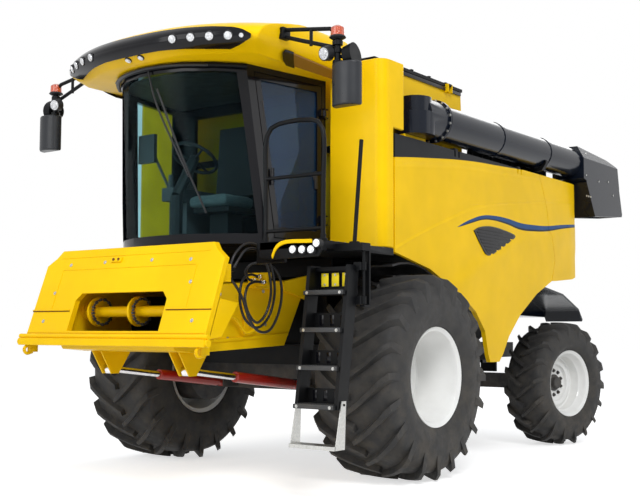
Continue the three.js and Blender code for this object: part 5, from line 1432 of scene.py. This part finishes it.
def makeAugerTrim():
    body = frame["nodes"]["auger_tube"]["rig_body"]
    ring, bolts = bmesh.new(), bmesh.new()
    x, z, radius = auger["x"], auger["z"], auger["radius"]
    for y in auger["rings"]:
        addRod(ring, (x, y, z), (x, y + 0.016, z), radius + 0.03, 48)
    circle = radius + 0.02
    for k in range(auger["flangeBolts"]):
        angle = 2 * math.pi * (k + 0.5) / auger["flangeBolts"]
        place = (x + circle * math.cos(angle), auger["flange"], z + circle * math.sin(angle))
        addBolt(bolts, place, (0, -1, 0), 0.008, 0.01)
    for y in auger["clamps"]:
        height = z + (y - 0.45) * auger["rise"]
        addRod(ring, (x, y, height), (x, y + 0.06, height), radius + 0.006, 48)
    makePiece("auger_flange_rings", ring, "navy", body, bevel=0.002)
    makePiece("auger_flange_bolts", bolts, "steel", body)
    bands = bmesh.new()
    for y in auger["spoutSlots"]:
        addRod(bands, (x + 0.196, y, 2.86), (x + 0.203, y, 2.86), 0.012, 6)
    for y, height in auger["spoutBolts"]:
        addRod(bands, (x + 0.19, y, height), (x + 0.203, y, height), 0.013, 6)
    makePiece("spout_bolts", bands, "steel", body)


def makeTopTrim():
    # A black sheet with bars on the tank's side under the auger: painted shade, filling the gap between the
    # auger and the panel with dark.
    shadeFill = bmesh.new()
    addBlock(shadeFill, (1.225, 1.5, 3.03), (1.24, 3.4, 3.19), 0.003)
    for k in range(deck["shadeFillBars"]):
        addBlock(shadeFill, (1.24, 1.55 + k * 0.22, 3.04), (1.25, 1.59 + k * 0.22, 3.19), 0.002)
    makePiece("deck_side_screen", shadeFill, "black", "machine")
    seal = bmesh.new()
    for x in (1.2505, -1.2505):
        way = 1 if x > 0 else -1
        addBlock(seal, (min(x, x + way * 0.012), -0.24, 3.655), (max(x, x + way * 0.012), 1.32, 3.69), 0.003)
    addBlock(seal, (-1.24, 1.33, 3.655), (1.24, 1.342, 3.69), 0.003)
    makePiece("tank_edge_seal", seal, "rubber", "machine")
    for sideName, way in sides:
        node = f"tank_cover_{sideName}"
        body = frame["nodes"][node]["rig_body"]
        low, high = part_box(node)
        rib = bmesh.new()
        for k in range(1, deck["coverRibs"] + 1):
            y = low.y + (high.y - low.y) * k / (deck["coverRibs"] + 1) - axleY
            addBlock(rib, (low.x + 0.03, y - 0.02, high.z - 0.001),
                     (high.x - 0.03, y + 0.02, high.z + 0.01), 0.004)
        makePiece(f"tank_cover_ribs_{sideName}", rib, "black", body)
    louvres = bmesh.new()
    for k in range(deck["louvres"]):
        y = deck["louvreFrom"] + k * deck["louvreStep"]
        addBlock(louvres, (-0.85, y - 0.02, 3.149), (0.85, y + 0.03, 3.166), 0.006)
    makePiece("hood_louvres", louvres, "navy", "machine")


makeAugerTrim()
makeTopTrim()
print("auger and top trimmed")

# Cab trim

# The windscreen's outline at the floor, and how much it changes up to the top.
cab = {"floor": 2.0, "top": 3.5, "half": 0.86, "narrower": 0.125, "corner": -1.25, "cornerLean": 0.15,
       "nose": -1.62, "noseLean": 0.18}


def cabPoint(share, height, out=0.0):
    t = (height - cab["floor"]) / (cab["top"] - cab["floor"])
    half = cab["half"] - cab["narrower"] * t + out
    corner = cab["corner"] - cab["cornerLean"] * t - out * 0.8
    nose = cab["nose"] - cab["noseLean"] * t - out
    return Vector((share * half, nose + (corner - nose) * abs(share) ** 2.4, height))


def makeCabTrim():
    ceiling = bmesh.new()
    ring = [cabPoint(s / 8, 3.44, -0.06) for s in range(-8, 9)]
    outline = [(p.x, p.y) for p in ring] + [(0.82, -0.565), (-0.82, -0.565)]
    addPlate(ceiling, outline, "z", 3.425, 3.447)
    makePiece("cab_ceiling", ceiling, "darkPlastic", "machine", bevel=0.004)
    wiper = [[cabPoint(0.02, 3.46, 0.02), cabPoint(0.1, 3.2, 0.03), cabPoint(0.42, 2.55, 0.03)]]
    makeTube("wiper_arm", wiper, 0.008, "darkPlastic", "machine", (), 6, 3)
    blade = [[cabPoint(0.12, 3.3, 0.012), cabPoint(0.35, 2.75, 0.014), cabPoint(0.55, 2.25, 0.012)]]
    makeTube("wiper_blade", blade, 0.009, "rubber", "machine", (), 6, 3)
    seal = [[cabPoint(s / 10, 3.47, 0.02) for s in range(-10, 11)]]
    makeTube("cab_top_tube", seal, 0.018, "black", "machine", (), 2, 4)
    visor = [[cabPoint(s / 10, 3.475 - 0.02 * abs(s / 10), 0.035) for s in range(-7, 8)]]
    makeTube("sun_visor_edge", visor, 0.012, "shell", "machine", (), 2, 4)
    body = frame["nodes"]["cab_door"]["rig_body"]
    handle = bmesh.new()
    addBlock(handle, (0.87, -0.64, 2.52), (0.895, -0.6, 2.68), 0.008)
    addBlock(handle, (0.865, -0.655, 2.6), (0.885, -0.585, 2.66), 0.006)
    makePiece("door_handle", handle, "darkPlastic", body)
    inside = [[(0.8, -1.2, 2.35), (0.79, -1.22, 2.9), (0.775, -1.25, 3.2)]]
    makeTube("cab_grab_rail", inside, 0.013, "darkPlastic", "machine", (), 4, 4)


makeCabTrim()
print("cab trimmed")

# Tail

tail = {"lampsAt": 0.98, "lampY": 4.0, "lampZ": 2.24, "lampRadius": 0.034, "boltsAt": (-0.6, -0.2, 0.2, 0.6)}


def makeTailTrim():
    red, lens, base, bolts = bmesh.new(), bmesh.new(), bmesh.new(), bmesh.new()
    for way in (1, -1):
        x, y, z = way * tail["lampsAt"], tail["lampY"], tail["lampZ"]
        addBlock(base, (x - 0.11, y - 0.06, z - 0.06), (x + 0.11, y, z + 0.06), 0.01)
        for glow, off in ((red, -0.05), (lens, 0.05)):
            addRoundLamp(base, glow, (x + off, y, z), (0, 1, 0), tail["lampRadius"], 0.012)
    for x in tail["boltsAt"]:
        addBolt(bolts, (x, 4.145, 2.52), (0, 1, 0), 0.012)
    makePiece("tail_lamp_boxes", base, "darkPlastic", "machine", bevel=0.002)
    makePiece("tail_lamp_red", red, "redLens", "machine")
    makePiece("tail_lamp_clear", lens, "lens", "machine")
    makePiece("tail_bolts", bolts, "steel", "machine")


makeTailTrim()
print("tail trimmed")
